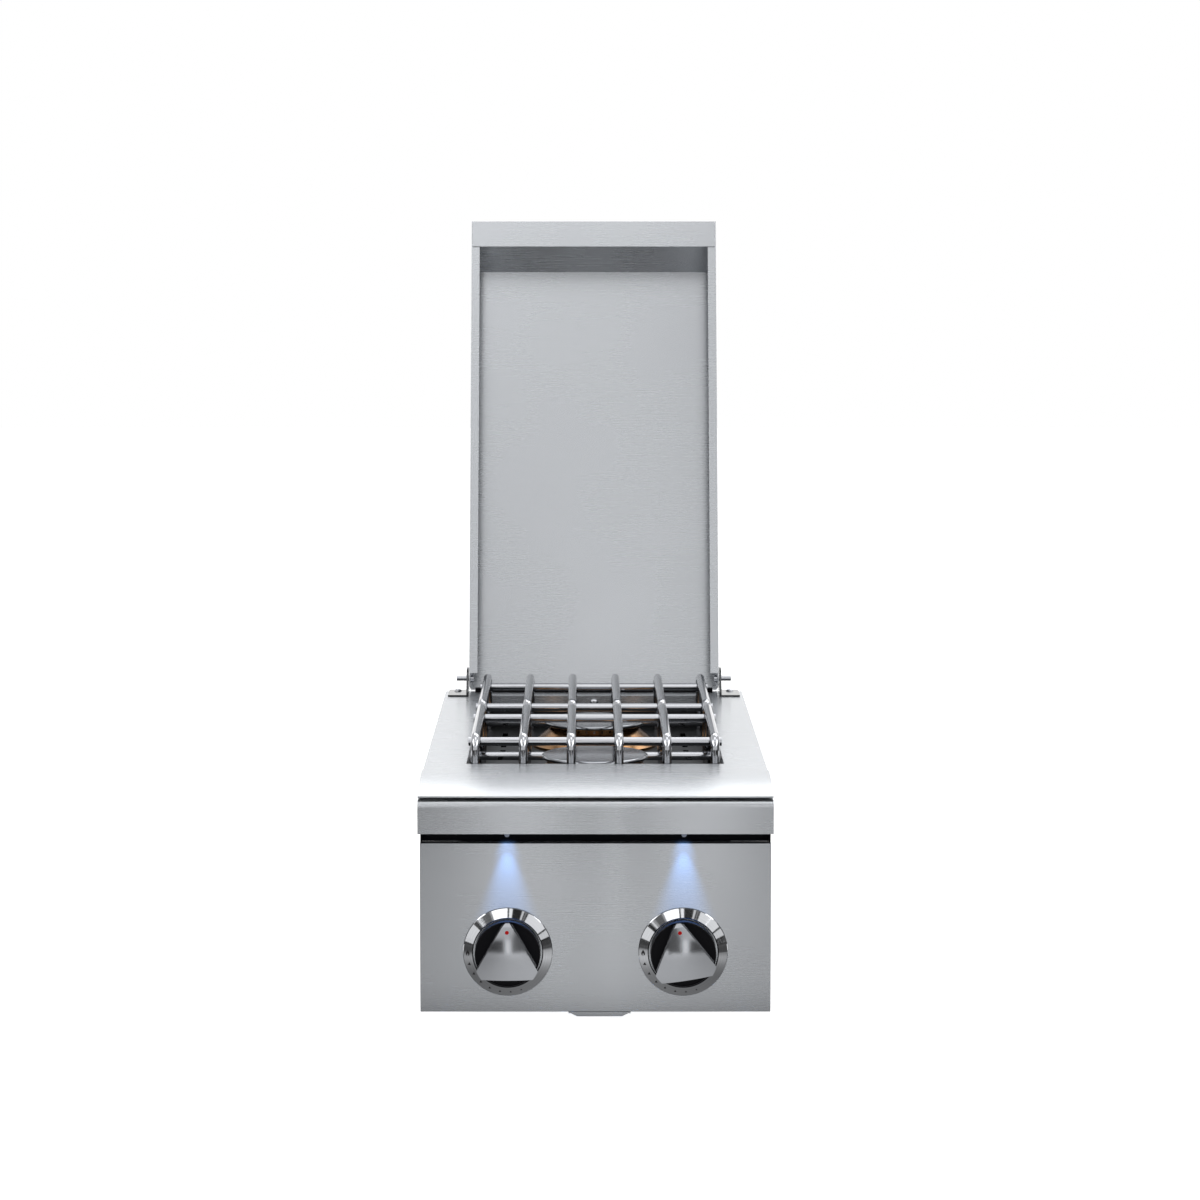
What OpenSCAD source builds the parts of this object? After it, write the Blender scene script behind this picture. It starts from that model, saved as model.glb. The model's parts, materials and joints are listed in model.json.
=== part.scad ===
// Built-in double side burner: a drop-in firebox with two gas burners in a row, two rod
// grates, a hinged lid, a front control panel with two knobs, and a slide-out drip tray.
// X runs to the right, Y to the back and Z up. The lid is drawn standing open.

/* [Deck] */
// Width of the deck and of the control panel
deck_w = 343; // [330:1:380]
// Depth of the deck, from the crease at its front to its rear edge
deck_d = 550; // [530:1:600]
// Height of the deck's top above the firebox's underside
deck_h = 246; // [240:1:290]
// Thickness of the deck, apron, brow and panel sheets
sheet = 1.5; // [1:0.1:2]
// Depth of the deck's turned-down outer edges
rim_drop = 12; // [10:1:13]
// Width of the inward flange that rests on the counter
rim_flange = 14; // [10:1:16]

/* [Opening] */
// Width of the deck beside the opening
open_side = 42.1; // [40:0.1:44]
// Depth of the opening in the deck
open_d = 476; // [460:1:480]
// Distance from the crease to the opening
open_inset = 35.4; // [32:0.2:45]
// Depth of the turned-down edge round the opening
hem_drop = 14; // [12:1:18]
// Thickness of the firebox, control box and tray sheets
wall = 1.2; // [0.8:0.1:1.6]
// Distance from the deck's top down to the burner pan
pan_drop = 36; // [34:1:50]

/* [Front] */
// Distance from the panel's face back to the crease
crease_back = 71.2; // [66:0.2:80]
// How far the apron and the brow rail pass the deck at each side
apron_over = 1; // [0:0.5:3]
// Flat stretch of the apron in front of the crease
apron_flat = 11; // [8:1:16]
// Radius of the apron's curve
apron_r = 305; // [240:5:320]
// How far the apron stands out in front of the panel's face
apron_reach = 20; // [16:1:22]
// How far the brow rail stands out in front of the panel's face
brow_reach = 23; // [22:0.5:28]
// Height of the brow rail
brow_h = 32.6; // [28:0.2:36]
// Radius of the brow rail's top edge
brow_r = 7; // [4:0.5:9]
// Gap between the apron's front edge and the brow rail
brow_gap = 2.5; // [0.6:0.1:3]
// Open gap between the brow rail and the panel
vent_gap = 13.4; // [10:0.2:16]
// Height of the panel's lower edge above the firebox's underside
panel_up = 18; // [18:1:24]
// Depth of the panel's side returns
panel_return = 20; // [15:1:24]

/* [Knobs] */
// Distance from the panel's sides to the knobs' axes
knob_inset = 85.8; // [80:0.1:90]
// Height of the knobs above the panel's lower edge
knob_up = 60.1; // [56:0.1:70]
// Radius of a knob
knob_r = 32; // [28:0.5:34]
// How far a knob stands out from the panel
knob_reach = 40; // [34:1:46]
// Distance from a knob's axis to the handle's flats
handle_inset = 20.5; // [17:0.5:23]
// Slope of the handle's flats in degrees
handle_draft = 7; // [0:0.5:8]
// Radius of the handle's domed face
face_r = 140; // [100:10:300]
// Width of the handle's rim round the skirt
rim_w = 1; // [0.8:0.1:1.5]
// How far the knob's skirt stands out from the panel
skirt_reach = 13; // [10:0.5:16]
// How far a knob can be pressed
push_travel = 3; // [2:0.5:3.5]
// Outer radius of a bezel
bezel_r = 43.75; // [41:0.25:46]
// Width of a bezel's ring
bezel_w = 10; // [8:0.25:10.25]
// How far a bezel stands out from the panel
bezel_rise = 6; // [4:0.5:8]
// Radius of a knob's stem
stem_r = 4; // [3:0.1:4.5]
// How far the right knob stands turned, counterclockwise, in degrees
right_turned = 9; // [0:1:30]

/* [Grates] */
// Diameter of the grate rods
rod_d = 9; // [8:0.5:10]
// Number of lengthwise rods in a grate
rod_count = 6; // [5:1:7]
// Distance from the opening's sides to the outer rods
rod_side = 8.65; // [6:0.05:14]
// Height of the rods' tops above the deck
grate_rise = 29.7; // [26:0.1:32]
// Radius of the rods' bends at the middle of the rod
bend_r = 13; // [10:0.5:15]
// Distance from the opening's front edge to the front legs
grate_front_gap = 5.6; // [5.5:0.1:8]
// Distance from the opening's rear edge to the rear legs
grate_rear_gap = 18.8; // [10:0.2:24]
// Distance between the facing legs of the two grates
grate_mid_gap = 19; // [14:0.5:24]
// Distance from a grate's front legs to its first cross bar
bar_front = 33; // [30:1:40]
// Distance from a grate's rear legs to its second cross bar
bar_rear = 26; // [24:1:34]

/* [Burners] */
// Diameter of a burner's cap
cap_d = 110.6; // [104:0.2:114]
// Thickness of a burner's cap
cap_t = 5; // [4:0.5:6]
// Distance from the deck's top down to a cap's top
cap_drop = 8.1; // [6:0.1:10]
// Radius of a burner's foot on the pan
foot_r = 70; // [66:0.5:74]
// Number of flame ports round a burner
port_count = 36; // [24:2:40]
// Width of a flame port
port_w = 2.2; // [1.6:0.1:3]
// Outer radius of the mixer tubes
tube_r = 12.7; // [11:0.1:13]
// Distance from a burner's centre back to the tie rod behind it
tie_back = 75; // [74:0.5:80]
// Distance from the deck's top down to the tie rods' middle
tie_drop = 22.9; // [20:0.1:25]

/* [Lid] */
// Distance from the deck's sides to the lid
lid_inset = 28.3; // [27:0.1:32]
// Thickness of the lid's sheet
lid_sheet = 1.2; // [0.8:0.1:1.5]
// Height of the closed lid above the deck
lid_rise = 57.5; // [48:0.5:66]
// Gap between the closed lid's rim and the deck
lid_gap = 1; // [0.6:0.1:2]
// How far the closed lid's front edge passes the crease
lid_over = 11; // [6:0.5:11]
// Depth of the lid's sloping front
lid_slope = 47.4; // [36:0.2:60]
// Depth of the lip along the lid's front edge
lip_w = 30.7; // [24:0.1:36]
// Width of the flange along the lid's sides
side_lip = 9.5; // [6:0.5:10]
// Angle that the lid turns from closed to open, in degrees
open_angle = 105; // [90:1:106]

/* [Hinges] */
// Distance from the hinge pins back to the deck's rear edge
pin_inset = 23.2; // [22.8:0.2:28]
// Height of the hinge pins above the deck
pin_rise = 18.5; // [18:0.1:22]
// Radius of the hinge pins
pin_r = 3.15; // [2.5:0.05:3.5]
// Outer end of a hinge pin, beyond the lid's side
pin_out = 14.8; // [12:0.1:18]
// Width of a hinge bracket along the deck's side
bracket_d = 46; // [36:1:46]
// Thickness of a hinge bracket
bracket_t = 2.4; // [2:0.1:3]
// Width of a hinge bracket's foot
bracket_foot = 21; // [18:0.5:24]
// Height of the baffle that stands on the deck behind the hinge pins
baffle_h = 4.5; // [3:0.5:5]
// Depth of this baffle
baffle_d = 10; // [6:1:10]

/* [Drip tray] */
// Height of the drip tray
tray_h = 14.2; // [10:0.2:14.2]
// Width of the flat bars that the tray slides on
runner_w = 12; // [8:0.5:16]
// Thickness of these bars
runner_t = 3; // [2:0.5:3]
// Width of the pull tab where it leaves the tray
tab_w = 61; // [50:1:80]
// Width of the pull tab's lower edge
tab_tip_w = 44; // [30:1:50]
// How far the pull tab hangs below the panel's lower edge
tab_drop = 4.7; // [3:0.1:8]
// How far the pull tab stands to the right of the middle
tab_offset = 4; // [-10:1:10]

/* [Gas parts] */
// Outer radius of the manifold pipe
pipe_r = 10.65; // [9:0.05:11]
// Radius of the gas inlet's pipe end
inlet_r = 10.3; // [9:0.05:10.5]
// How far the gas inlet stands out of the control box
inlet_out = 28; // [20:1:34]
// Radius of a valve's barrel
valve_r = 14; // [12:0.5:15]
// Radius of a valve's turning plug
plug_r = 8; // [7:0.1:9]
// Diameter of the panel lamps
lamp_d = 5; // [4:0.5:6]
// Distance from the panel's sides to the lamps
lamp_inset = 85.5; // [60:0.5:100]

/* [Clearances] */
// Radial clearance of a pin or shaft that turns
run_gap = 0.07; // [0.02:0.01:0.1]
// Gap between a loose piece and its seat
seat_gap = 0.3; // [0.1:0.1:0.5]
// Gap between sheets that lie side by side
sheet_gap = 0.1; // [0:0.05:0.3]
// Gap beside pieces that slide or swing past each other
slide_gap = 0.8; // [0.5:0.1:1.2]

/* [Hidden] */
$fn = 72;

steel = [0.72, 0.73, 0.75];
dark_steel = [0.35, 0.36, 0.38];
polished = [0.85, 0.86, 0.88];
brass = [0.80, 0.62, 0.30];
black = [0.04, 0.04, 0.045];
blue_white = [0.75, 0.85, 1];
ceramic = [0.92, 0.9, 0.86];

LEFT = -1;
RIGHT = 1;

// Widths that follow from the deck's
open_w = deck_w - 2 * open_side;
apron_w = deck_w + 2 * apron_over;
lid_w = deck_w - 2 * lid_inset;
knob_x = deck_w / 2 - knob_inset;
lamp_x = deck_w / 2 - lamp_inset;
rod_pitch = (open_w - 2 * rod_side) / (rod_count - 1);

// The closed lid lies level, and its own coordinates run from the hinge pins
lid_top = lid_rise - pin_rise;
lid_rim = pin_rise - lid_gap;
lid_tail = 10;
lid_reach = deck_d - pin_inset + lid_over;
lid_crest = lid_reach - lid_slope;
lid_hem = 10;
slit = 0.6;

// The open lid's top corner is the rearmost point and a knob's face the foremost one
lid_back = lid_crest * -cos(open_angle) + lid_top * sin(open_angle);
pin_back = crease_back + deck_d - pin_inset;
face_y = (knob_reach - pin_back - lid_back) / 2;

crease_y = face_y + crease_back;
rear_y = crease_y + deck_d;
open_y = crease_y + open_inset;
open_end = open_y + open_d;
pin_y = face_y + pin_back;
pin_z = deck_h + pin_rise;

// Heights down the front, from the deck to the panel's lower edge
apron_run = crease_back - apron_flat + apron_reach;
apron_fall = apron_r - sqrt(pow(apron_r, 2) - pow(apron_run, 2));
brow_top = deck_h - apron_fall - sheet - brow_gap;
brow_z = brow_top - brow_h;
panel_top = brow_z - vent_gap;
panel_z = panel_up;
knob_z = panel_z + knob_up;
brow_leg = 12;
brow_back = 95;

// The firebox stands outside the opening's turned-down edge
box_in = open_w / 2 + sheet + sheet_gap;
box_out = box_in + wall;
box_y = open_y - sheet - sheet_gap - wall;
box_end = open_end + sheet + sheet_gap + wall;
box_top = deck_h - sheet - sheet_gap;
pan_z = deck_h - pan_drop;
pan_lip = 8;
wall_screw_z = deck_h - 8;

// The control box's floor lies on the panel's lower return, above the tray's way out
panel_shelf = 15;
floor_z = panel_z + sheet + sheet_gap;
box_flange = 12;

// Grates, with a burner under the middle of each
grate_len = (open_d - grate_front_gap - grate_rear_gap - grate_mid_gap) / 2;
rod_r = rod_d / 2;
rod_z = deck_h + grate_rise - rod_r;
weld = 0.4;
bar_z = rod_z - rod_d + weld;
leg_z = pan_z + seat_gap;
bar_half = open_w / 2 - slide_gap;
front_grate_y = open_y + grate_front_gap;
rear_grate_y = front_grate_y + grate_len + grate_mid_gap;
front_burner_y = front_grate_y + grate_len / 2;
rear_burner_y = rear_grate_y + grate_len / 2;
tie_z = deck_h - tie_drop;

// Burners
cap_z = deck_h - cap_drop - cap_t;
base_h = cap_z - seat_gap - pan_z;
crown_r = 50;
chamber_r = 44;
port_h = 3;
collar_h = 3;
tube_wall = 1.5;
elbow_r = 30;
tube_up = 3;
socket_r = tube_r + sheet_gap;
igniter_x = 30;
igniter_r = 3;
clip_d = 15;
clip_w = 10;

// Gas parts in the control box
valve_y = face_y + 24;
valve_end = valve_y + 34;
valve_neck_r = 9;
stem_end = 40;
stem_seat = knob_reach - 12;
rim_h = 1.2;
rail_w = 1.8;
mouth_y = valve_end + 11;
collar_r = tube_r + 1.5;
mixer_y = valve_end - 2;
pipe_y = face_y + 42;
pipe_z = knob_z - valve_r - pipe_r - 2.5;
pipe_wall = 2.6;
pipe_end = 24;
pipe_cap = 4;
saddle_w = 24;
saddle_d = 28;
saddle_t = 3;
foot_t = 2;
inlet_bore = 7.5;
inlet_neck = 1;
fitting_r = 13;
fitting_x = box_in - 12;
shield_y = box_y - 9;
module_y = pipe_y + pipe_r + 6;
ignition_size = [60, 28, 24];
driver_size = [40, 26, 18];
driver_x = box_in - 40;
tab_pitch = 14;
ear_out = 8;
ear_w = 16;
ear_t = 2.5;
ear_hole_r = 1.6;

// Drip tray and its runners
tray_half = box_in - slide_gap;
tray_z = runner_t + seat_gap;
tray_top = tray_z + tray_h;
tray_y = box_y + wall + 2;
tray_end = box_end - wall - 2;
tab_z = panel_z - tab_drop;

// Lid sides and hinges
lid_half = lid_w / 2;
bracket_x = lid_half + slide_gap;
screw_x = bracket_x + 13;
screw_y = rear_y - 12;
screw_r = 2.5;
hole_gap = 0.1;
lamp_y = face_y - 12;
baffle_half = lid_half - 6;

// Air slots in the firebox walls, below the pan
slot_r = 2;
slot_z = [108, 146];
slot_pitch = 24;

// A box given by its lowest and highest X, Y and Z
module block(x, y, z) {
    translate([x[0], y[0], z[0]]) cube([x[1] - x[0], y[1] - y[0], z[1] - z[0]]);
}

// A block on the left or right side, where x is given as distances from the middle
module side_block(side, x, y, z) {
    block(side > 0 ? x : [-x[1], -x[0]], y, z);
}

// Round bar or hole along X, Y or Z
module rod_x(x, y, z, r) {
    translate([x[0], y, z]) rotate([0, 90, 0]) cylinder(r = r, h = x[1] - x[0]);
}

module rod_y(x, y, z, r) {
    translate([x, y[0], z]) rotate([-90, 0, 0]) cylinder(r = r, h = y[1] - y[0]);
}

module rod_z(x, y, z, r) {
    translate([x, y, z[0]]) cylinder(r = r, h = z[1] - z[0]);
}

// A profile drawn in Y and Z, run along X between two places
module run_x(x) {
    translate([x[0], 0, 0]) rotate([90, 0, 90]) linear_extrude(x[1] - x[0]) children();
}

// A profile turned about a knob's axis, drawn as radius and distance from the panel's face
module turn_front(side) {
    translate([side * knob_x, face_y, knob_z]) rotate([90, 0, 0]) rotate_extrude() children();
}

// Four upright walls round a block, open at the top and bottom
module wall_ring(x, y, z, t) {
    difference() {
        block(x, y, z);
        block([x[0] + t, x[1] - t], [y[0] + t, y[1] - t], [z[0] - 1, z[1] + 1]);
    }
}

// Row of upright air slots with round ends, cut along Y about the middle of a wall
module air_slots(count, y) {
    for (i = [0:count - 1]) {
        x = (i - (count - 1) / 2) * slot_pitch;
        block([x - slot_r, x + slot_r], y, slot_z);
        for (z = slot_z) rod_y(x, y, z, slot_r);
    }
}

// Firebox: two side walls with air slots, and an end wall at the front and the rear
module firebox_side(side) {
    cut = [box_in - 1, box_out + 1];
    color(steel)
    difference() {
        side_block(side, [box_in, box_out], [box_y, box_end], [0, box_top]);
        translate([0, (box_y + box_end) / 2, 0]) rotate([0, 0, 90])
            air_slots(15, side > 0 ? [-cut[1], -cut[0]] : cut);
    }
}

module firebox_left() { firebox_side(LEFT); }
module firebox_right() { firebox_side(RIGHT); }

// The front wall stops above the tray's way out
module firebox_front() {
    color(steel)
    difference() {
        block([-box_in, box_in], [box_y, box_y + wall], [floor_z - sheet, box_top]);
        mixer_path(LEFT, front_burner_y, collar_r);
        mixer_path(RIGHT, rear_burner_y, collar_r);
        wall_screw_holes();
    }
}

module firebox_rear() {
    color(steel)
    difference() {
        block([-box_in, box_in], [box_end - wall, box_end], [0, box_top]);
        air_slots(9, [box_end - wall - 1, box_end + 1]);
        wall_screw_holes();
    }
}

// Deck: top sheet with the opening, turned-down edges and the counter flange
module deck() {
    half = deck_w / 2;
    y = [crease_y + sheet_gap / 2, rear_y];
    rim = [deck_h - rim_drop, deck_h];
    color(steel)
    difference() {
        union() {
            block([-half, half], y, [deck_h - sheet, deck_h]);
            wall_ring([-half, half], y, rim, sheet);
            wall_ring([-half, half], y, [rim[0], rim[0] + sheet], rim_flange);
            wall_ring([-open_w / 2 - sheet, open_w / 2 + sheet], [open_y - sheet, open_end + sheet],
                [deck_h - hem_drop, deck_h], sheet);
        }
        block([-open_w / 2, open_w / 2], [open_y, open_end], [deck_h - hem_drop - 1, deck_h + 1]);
        wall_screw_holes();
        for (side = [LEFT, RIGHT])
            rod_z(side * screw_x, screw_y, [deck_h - sheet - 1, deck_h + 1], screw_r + hole_gap);
    }
}

// Half-round solid under the apron's curve, lowered by the given thickness
module apron_curve(lower) {
    translate([crease_y - apron_flat, deck_h - apron_r]) circle(apron_r - lower, $fn = 360);
}

// Front apron: bullnose sheet that falls in a gentle curve, with a plate at each end
module front_apron() {
    low = deck_h - apron_fall - sheet;
    front = crease_y - apron_flat - apron_run;
    back = crease_y - sheet_gap / 2;
    half = apron_w / 2;
    color(steel)
    union() {
        run_x([-half, half]) {
            intersection() {
                difference() {
                    apron_curve(0);
                    apron_curve(sheet);
                }
                translate([front, low - 5]) square([apron_run, deck_h - low + 6]);
            }
            translate([crease_y - apron_flat - 0.01, deck_h - sheet])
                square([back - crease_y + apron_flat + 0.01, sheet]);
            translate([back - sheet, deck_h - rim_drop]) square([sheet, rim_drop]);
        }
        for (x = [-half, half - sheet])
            run_x([x, x + sheet]) {
                intersection() {
                    apron_curve(0);
                    translate([front + 1, low]) square([apron_run - 1, deck_h - low]);
                }
                translate([crease_y - apron_flat - 0.01, low])
                    square([back - crease_y + apron_flat + 0.01, deck_h - low]);
            }
    }
}

// Outline of the brow rail with its rounded top edge, drawn in by the given amount
module brow_outline(inset, back) {
    front = face_y - brow_reach;
    top = brow_top - brow_r;
    translate([front + inset, brow_z + inset])
        square([back - front - inset, top - brow_z - inset]);
    translate([front + brow_r, brow_z + inset])
        square([back - front - brow_r, brow_h - 2 * inset]);
    translate([front + brow_r, top]) circle(brow_r - inset);
}

// Brow rail: folded rail across the front, above the vent gap
module brow_rail() {
    half = apron_w / 2;
    color(steel)
    difference() {
        union() {
            run_x([-half, half])
                difference() {
                    brow_outline(0, face_y + brow_back);
                    brow_outline(sheet, face_y + brow_back + 1);
                    translate([face_y + brow_leg, brow_z - 1]) square([brow_back, brow_h - sheet]);
                }
            for (x = [-half, half - sheet])
                run_x([x, x + sheet]) brow_outline(0, face_y + panel_return);
        }
        for (side = [LEFT, RIGHT])
            rod_z(side * lamp_x, lamp_y, [brow_z - 1, brow_z + sheet + 1], lamp_d / 2 + hole_gap);
    }
}

// Control panel: front sheet with a return on every side
module control_panel() {
    half = deck_w / 2;
    y = [face_y, face_y + panel_return];
    shelf = [face_y, face_y + panel_shelf];
    color(steel)
    difference() {
        union() {
            block([-half, half], [face_y, face_y + sheet], [panel_z, panel_top]);
            for (x = [-half, half - sheet]) block([x, x + sheet], y, [panel_z, panel_top]);
            block([-half, half], shelf, [panel_z, panel_z + sheet]);
            block([-half, half], shelf, [panel_top - sheet, panel_top]);
        }
        for (side = [LEFT, RIGHT])
            rod_y(side * knob_x, [face_y - 1, face_y + sheet + 1], knob_z, valve_neck_r + 1);
    }
}

// Control box: floor and two sides that join the panel to the firebox and carry the brow
module control_box() {
    y = [face_y + sheet, box_y];
    top = brow_top - sheet;
    color(steel)
    difference() {
        union() {
            block([-box_out, box_out], y, [floor_z, floor_z + wall]);
            for (side = [LEFT, RIGHT]) {
                side_block(side, [box_in, box_out], y, [floor_z, top]);
                side_block(side, [box_in, box_out + box_flange], [y[0], y[0] + wall],
                    [floor_z, panel_top - sheet]);
                side_block(side, [box_in - box_flange, box_out], [y[1] - wall, y[1]],
                    [floor_z, top]);
            }
            block([-box_out, box_out], [y[1] - wall, y[1]], [floor_z, floor_z + box_flange]);
        }
        block([-box_out - 1, box_out + 1], [y[0] - 1, face_y + brow_leg + sheet_gap + 5],
            [panel_top - sheet, brow_top]);
        rod_x([box_in - 1, box_out + 1], pipe_y, pipe_z, inlet_r + 0.7);
        mixer_path(LEFT, front_burner_y, collar_r + 1);
        mixer_path(RIGHT, rear_burner_y, collar_r + 1);
    }
}

// Heat shield: plate on four stand-offs in front of the firebox
module heat_shield() {
    half = box_in - box_flange - 3;
    z = [floor_z + box_flange + 3, brow_z];
    color(polished)
    difference() {
        union() {
            block([-half, half], [shield_y, shield_y + wall], z);
            for (x = [-half + 12, half - 12]) for (up = [z[0] + 12, z[1] - 12])
                rod_y(x, [shield_y, box_y], up, 4);
        }
        mixer_path(LEFT, front_burner_y, collar_r + 1);
        mixer_path(RIGHT, rear_burner_y, collar_r + 1);
    }
}

// Lamp rail: black bracket behind the vent gap that holds the two lamps and closes its ends
module lamp_rail() {
    half = deck_w / 2 - 0.6;
    seat = brow_z + sheet;
    back = face_y + brow_leg + sheet_gap;
    gap = [panel_top + 0.2, brow_z - 0.2];
    color(black)
    difference() {
        union() {
            block([-half, half], [lamp_y - 6, back + sheet], [seat, seat + sheet]);
            block([-half, half], [back, back + sheet], [gap[0], brow_top - sheet]);
            for (side = [LEFT, RIGHT])
                side_block(side, [half - sheet, half], [face_y + 1, back + sheet], gap);
        }
        for (side = [LEFT, RIGHT])
            rod_z(side * lamp_x, lamp_y, [seat - 1, seat + sheet + 1], lamp_d / 2 + hole_gap);
    }
}

// Panel lamp with a domed tip below the brow rail and a collar on its bracket
module lamp(side) {
    r = lamp_d / 2;
    tip = brow_z - 4.7;
    seat = brow_z + 2 * sheet;
    color(blue_white)
    translate([side * lamp_x, lamp_y, 0])
    union() {
        translate([0, 0, tip + 1.5]) cylinder(r = r, h = seat - tip);
        translate([0, 0, tip]) cylinder(r1 = r - 1, r2 = r, h = 1.5, $fn = 48);
        translate([0, 0, seat]) cylinder(r = r + 1.2, h = 1.5);
    }
}

module left_lamp() { lamp(LEFT); }
module right_lamp() { lamp(RIGHT); }

// Burner pan: floor under the burners, with a turned-up edge and drain slots
module burner_pan() {
    half = box_in - sheet_gap;
    y = [box_y + wall + sheet_gap, box_end - wall - sheet_gap];
    slot_x = (foot_r + half) / 2;
    color(dark_steel)
    difference() {
        union() {
            block([-half, half], y, [pan_z - wall, pan_z]);
            wall_ring([-half, half], y, [pan_z - wall, pan_z + pan_lip], wall);
        }
        for (mid = [front_burner_y, rear_burner_y]) {
            rod_z(0, mid, [pan_z - wall - 1, pan_z + 1], tube_r + 1);
            for (side = [LEFT, RIGHT]) for (step = [-1, 0, 1])
                translate([side * slot_x - 3, mid + step * 60 - 20, pan_z - wall - 1])
                    cube([6, 40, wall + 2]);
        }
    }
}

// Burner base: cast body with a flared foot, a gas chamber and a ring of flame ports
module burner_base(mid) {
    color(brass)
    translate([0, mid, pan_z])
    difference() {
        rotate_extrude() polygon([
            [socket_r, 0], [foot_r, 0], [foot_r, 2.5], [foot_r - 8, 8], [crown_r, 18],
            [crown_r, base_h], [chamber_r, base_h], [chamber_r, 18], [30, 8], [socket_r, 5]
        ]);
        for (i = [0:port_count - 1])
            rotate([0, 0, i * 360 / port_count])
                translate([chamber_r - 2, -port_w / 2, base_h - port_h])
                    cube([crown_r - chamber_r + 4, port_w, port_h + 1]);
    }
}

module front_burner_base() { burner_base(front_burner_y); }
module rear_burner_base() { burner_base(rear_burner_y); }

// Burner cap: polished disc with a round edge and a ring that drops into the base
module burner_cap(mid) {
    r = cap_d / 2;
    color(polished)
    translate([0, mid, cap_z])
    rotate_extrude() {
        square([r - cap_t / 2, cap_t]);
        translate([r - cap_t / 2, cap_t / 2]) circle(cap_t / 2);
        translate([chamber_r - slide_gap - 3, -collar_h]) square([3, collar_h + 1]);
    }
}

module front_burner_cap() { burner_cap(front_burner_y); }
module rear_burner_cap() { burner_cap(rear_burner_y); }

// Places its children at a burner's axis at the valves' height, with X towards a valve
module from_burner(side, mid) {
    translate([0, mid, knob_z])
        rotate([0, 0, atan2(mixer_y - mid, side * knob_x)]) children();
}

// Length of a mixer tube from the burner's axis to its mouth
function mixer_len(mid) =
    norm([knob_x, mid - mixer_y]) * (mid - mouth_y) / (mid - mixer_y);

// The straight way of a mixer tube through the walls in front of the burners
module mixer_path(side, mid, r) {
    from_burner(side, mid) rod_x([elbow_r, mixer_len(mid)], 0, 0, r);
}

// Level run, elbow and riser of a mixer tube, longer at both ends by the given amount
module bent_tube(length, rise, r, more) {
    rod_x([elbow_r, length + more], 0, 0, r);
    rotate([90, 0, 0]) translate([elbow_r, elbow_r, 0]) rotate([0, 0, 180])
        rotate_extrude(angle = 90) translate([elbow_r, 0]) circle(r);
    rod_z(0, 0, [elbow_r, rise + more], r);
}

// Mixer tube: brings gas and air from a valve to a burner, with a collar at its mouth
module mixer_tube(side, mid) {
    length = mixer_len(mid);
    rise = pan_z + tube_up - knob_z;
    color(steel)
    from_burner(side, mid)
    difference() {
        union() {
            bent_tube(length, rise, tube_r, 0);
            rod_x([length - 14, length], 0, 0, collar_r);
        }
        bent_tube(length, rise, tube_r - tube_wall, 1);
    }
}

module front_mixer_tube() { mixer_tube(LEFT, front_burner_y); }
module rear_mixer_tube() { mixer_tube(RIGHT, rear_burner_y); }

// Tie rod across the firebox behind a burner, with the clip that holds the igniter
module tie_rod(mid) {
    y = mid + tie_back;
    color(steel)
    union() {
        rod_x([-box_in, box_in], y, tie_z, rod_r);
        difference() {
            block([igniter_x - clip_w / 2, igniter_x + clip_w / 2], [y - clip_d, y + 2],
                [tie_z - 6, tie_z + 3]);
            rod_z(igniter_x, y - 10, [tie_z - 7, tie_z + 4], igniter_r + hole_gap);
        }
    }
}

module front_tie_rod() { tie_rod(front_burner_y); }
module rear_tie_rod() { tie_rod(rear_burner_y); }

// Igniter: ceramic rod with a wire tip that leans towards the flame ports
module igniter(mid) {
    y = mid + tie_back - 10;
    color(ceramic)
    union() {
        rod_z(igniter_x, y, [tie_z - 7.5, tie_z + 7], igniter_r);
        rod_z(igniter_x, y, [tie_z - 7.5, tie_z - 6 - sheet_gap], 4.2);
        translate([igniter_x, y, tie_z + 6]) rotate([55, 0, -20])
            cylinder(r = 0.8, h = 7);
    }
}

module front_igniter() { igniter(front_burner_y); }
module rear_igniter() { igniter(rear_burner_y); }

// Manifold: pipe that feeds both valves, closed at its left end
module manifold() {
    color(dark_steel)
    difference() {
        rod_x([-knob_x - pipe_end, fitting_x], pipe_y, pipe_z, pipe_r);
        rod_x([pipe_cap - knob_x - pipe_end, fitting_x + 1], pipe_y, pipe_z, pipe_r - pipe_wall);
        for (side = [LEFT, RIGHT])
            rod_z(side * knob_x, pipe_y, [pipe_z, pipe_z + pipe_r + 1], 3.5);
    }
}

// Two saddles that stand on the control box's floor under the manifold
module manifold_brackets() {
    color(steel)
    for (side = [LEFT, RIGHT]) {
        x = side * knob_x / 2;
        y = [pipe_y - saddle_d / 2, pipe_y + saddle_d / 2];
        z = floor_z + wall;
        difference() {
            union() {
                block([x - saddle_t / 2, x + saddle_t / 2], y, [z, pipe_z]);
                block([x - saddle_w / 2, x + saddle_w / 2], y, [z, z + foot_t]);
            }
            rod_x([x - saddle_w, x + saddle_w], pipe_y, pipe_z, pipe_r);
        }
    }
}

// Gas inlet: fitting on the manifold with a male pipe end out of the right side
module gas_inlet() {
    x = [fitting_x, box_out + inlet_out];
    color(brass)
    difference() {
        union() {
            rod_x([x[0], box_in - sheet_gap], pipe_y, pipe_z, fitting_r);
            rod_x(x, pipe_y, pipe_z, inlet_r - inlet_neck);
            rod_x([box_out + inlet_neck, x[1]], pipe_y, pipe_z, inlet_r);
        }
        rod_x([x[0] - 1, x[1] + 1], pipe_y, pipe_z, inlet_bore);
    }
}

// Outline of a shaft with a flat on one side
module flatted(r) {
    intersection() {
        circle(r);
        translate([-r, -r]) square([2 * r, r * 1.65]);
    }
}

// A flatted bar along a knob's axis, between two distances behind the panel's face
module flatted_bar(from, to, r) {
    translate([0, to, 0]) rotate([90, 0, 0]) linear_extrude(to - from) flatted(r);
}

// Places its children at a knob's axis on the panel's face, turned as the knob stands
module at_knob(side) {
    translate([side * knob_x, face_y, knob_z])
        rotate([0, side > 0 ? -right_turned : 0, 0]) children();
}

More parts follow.
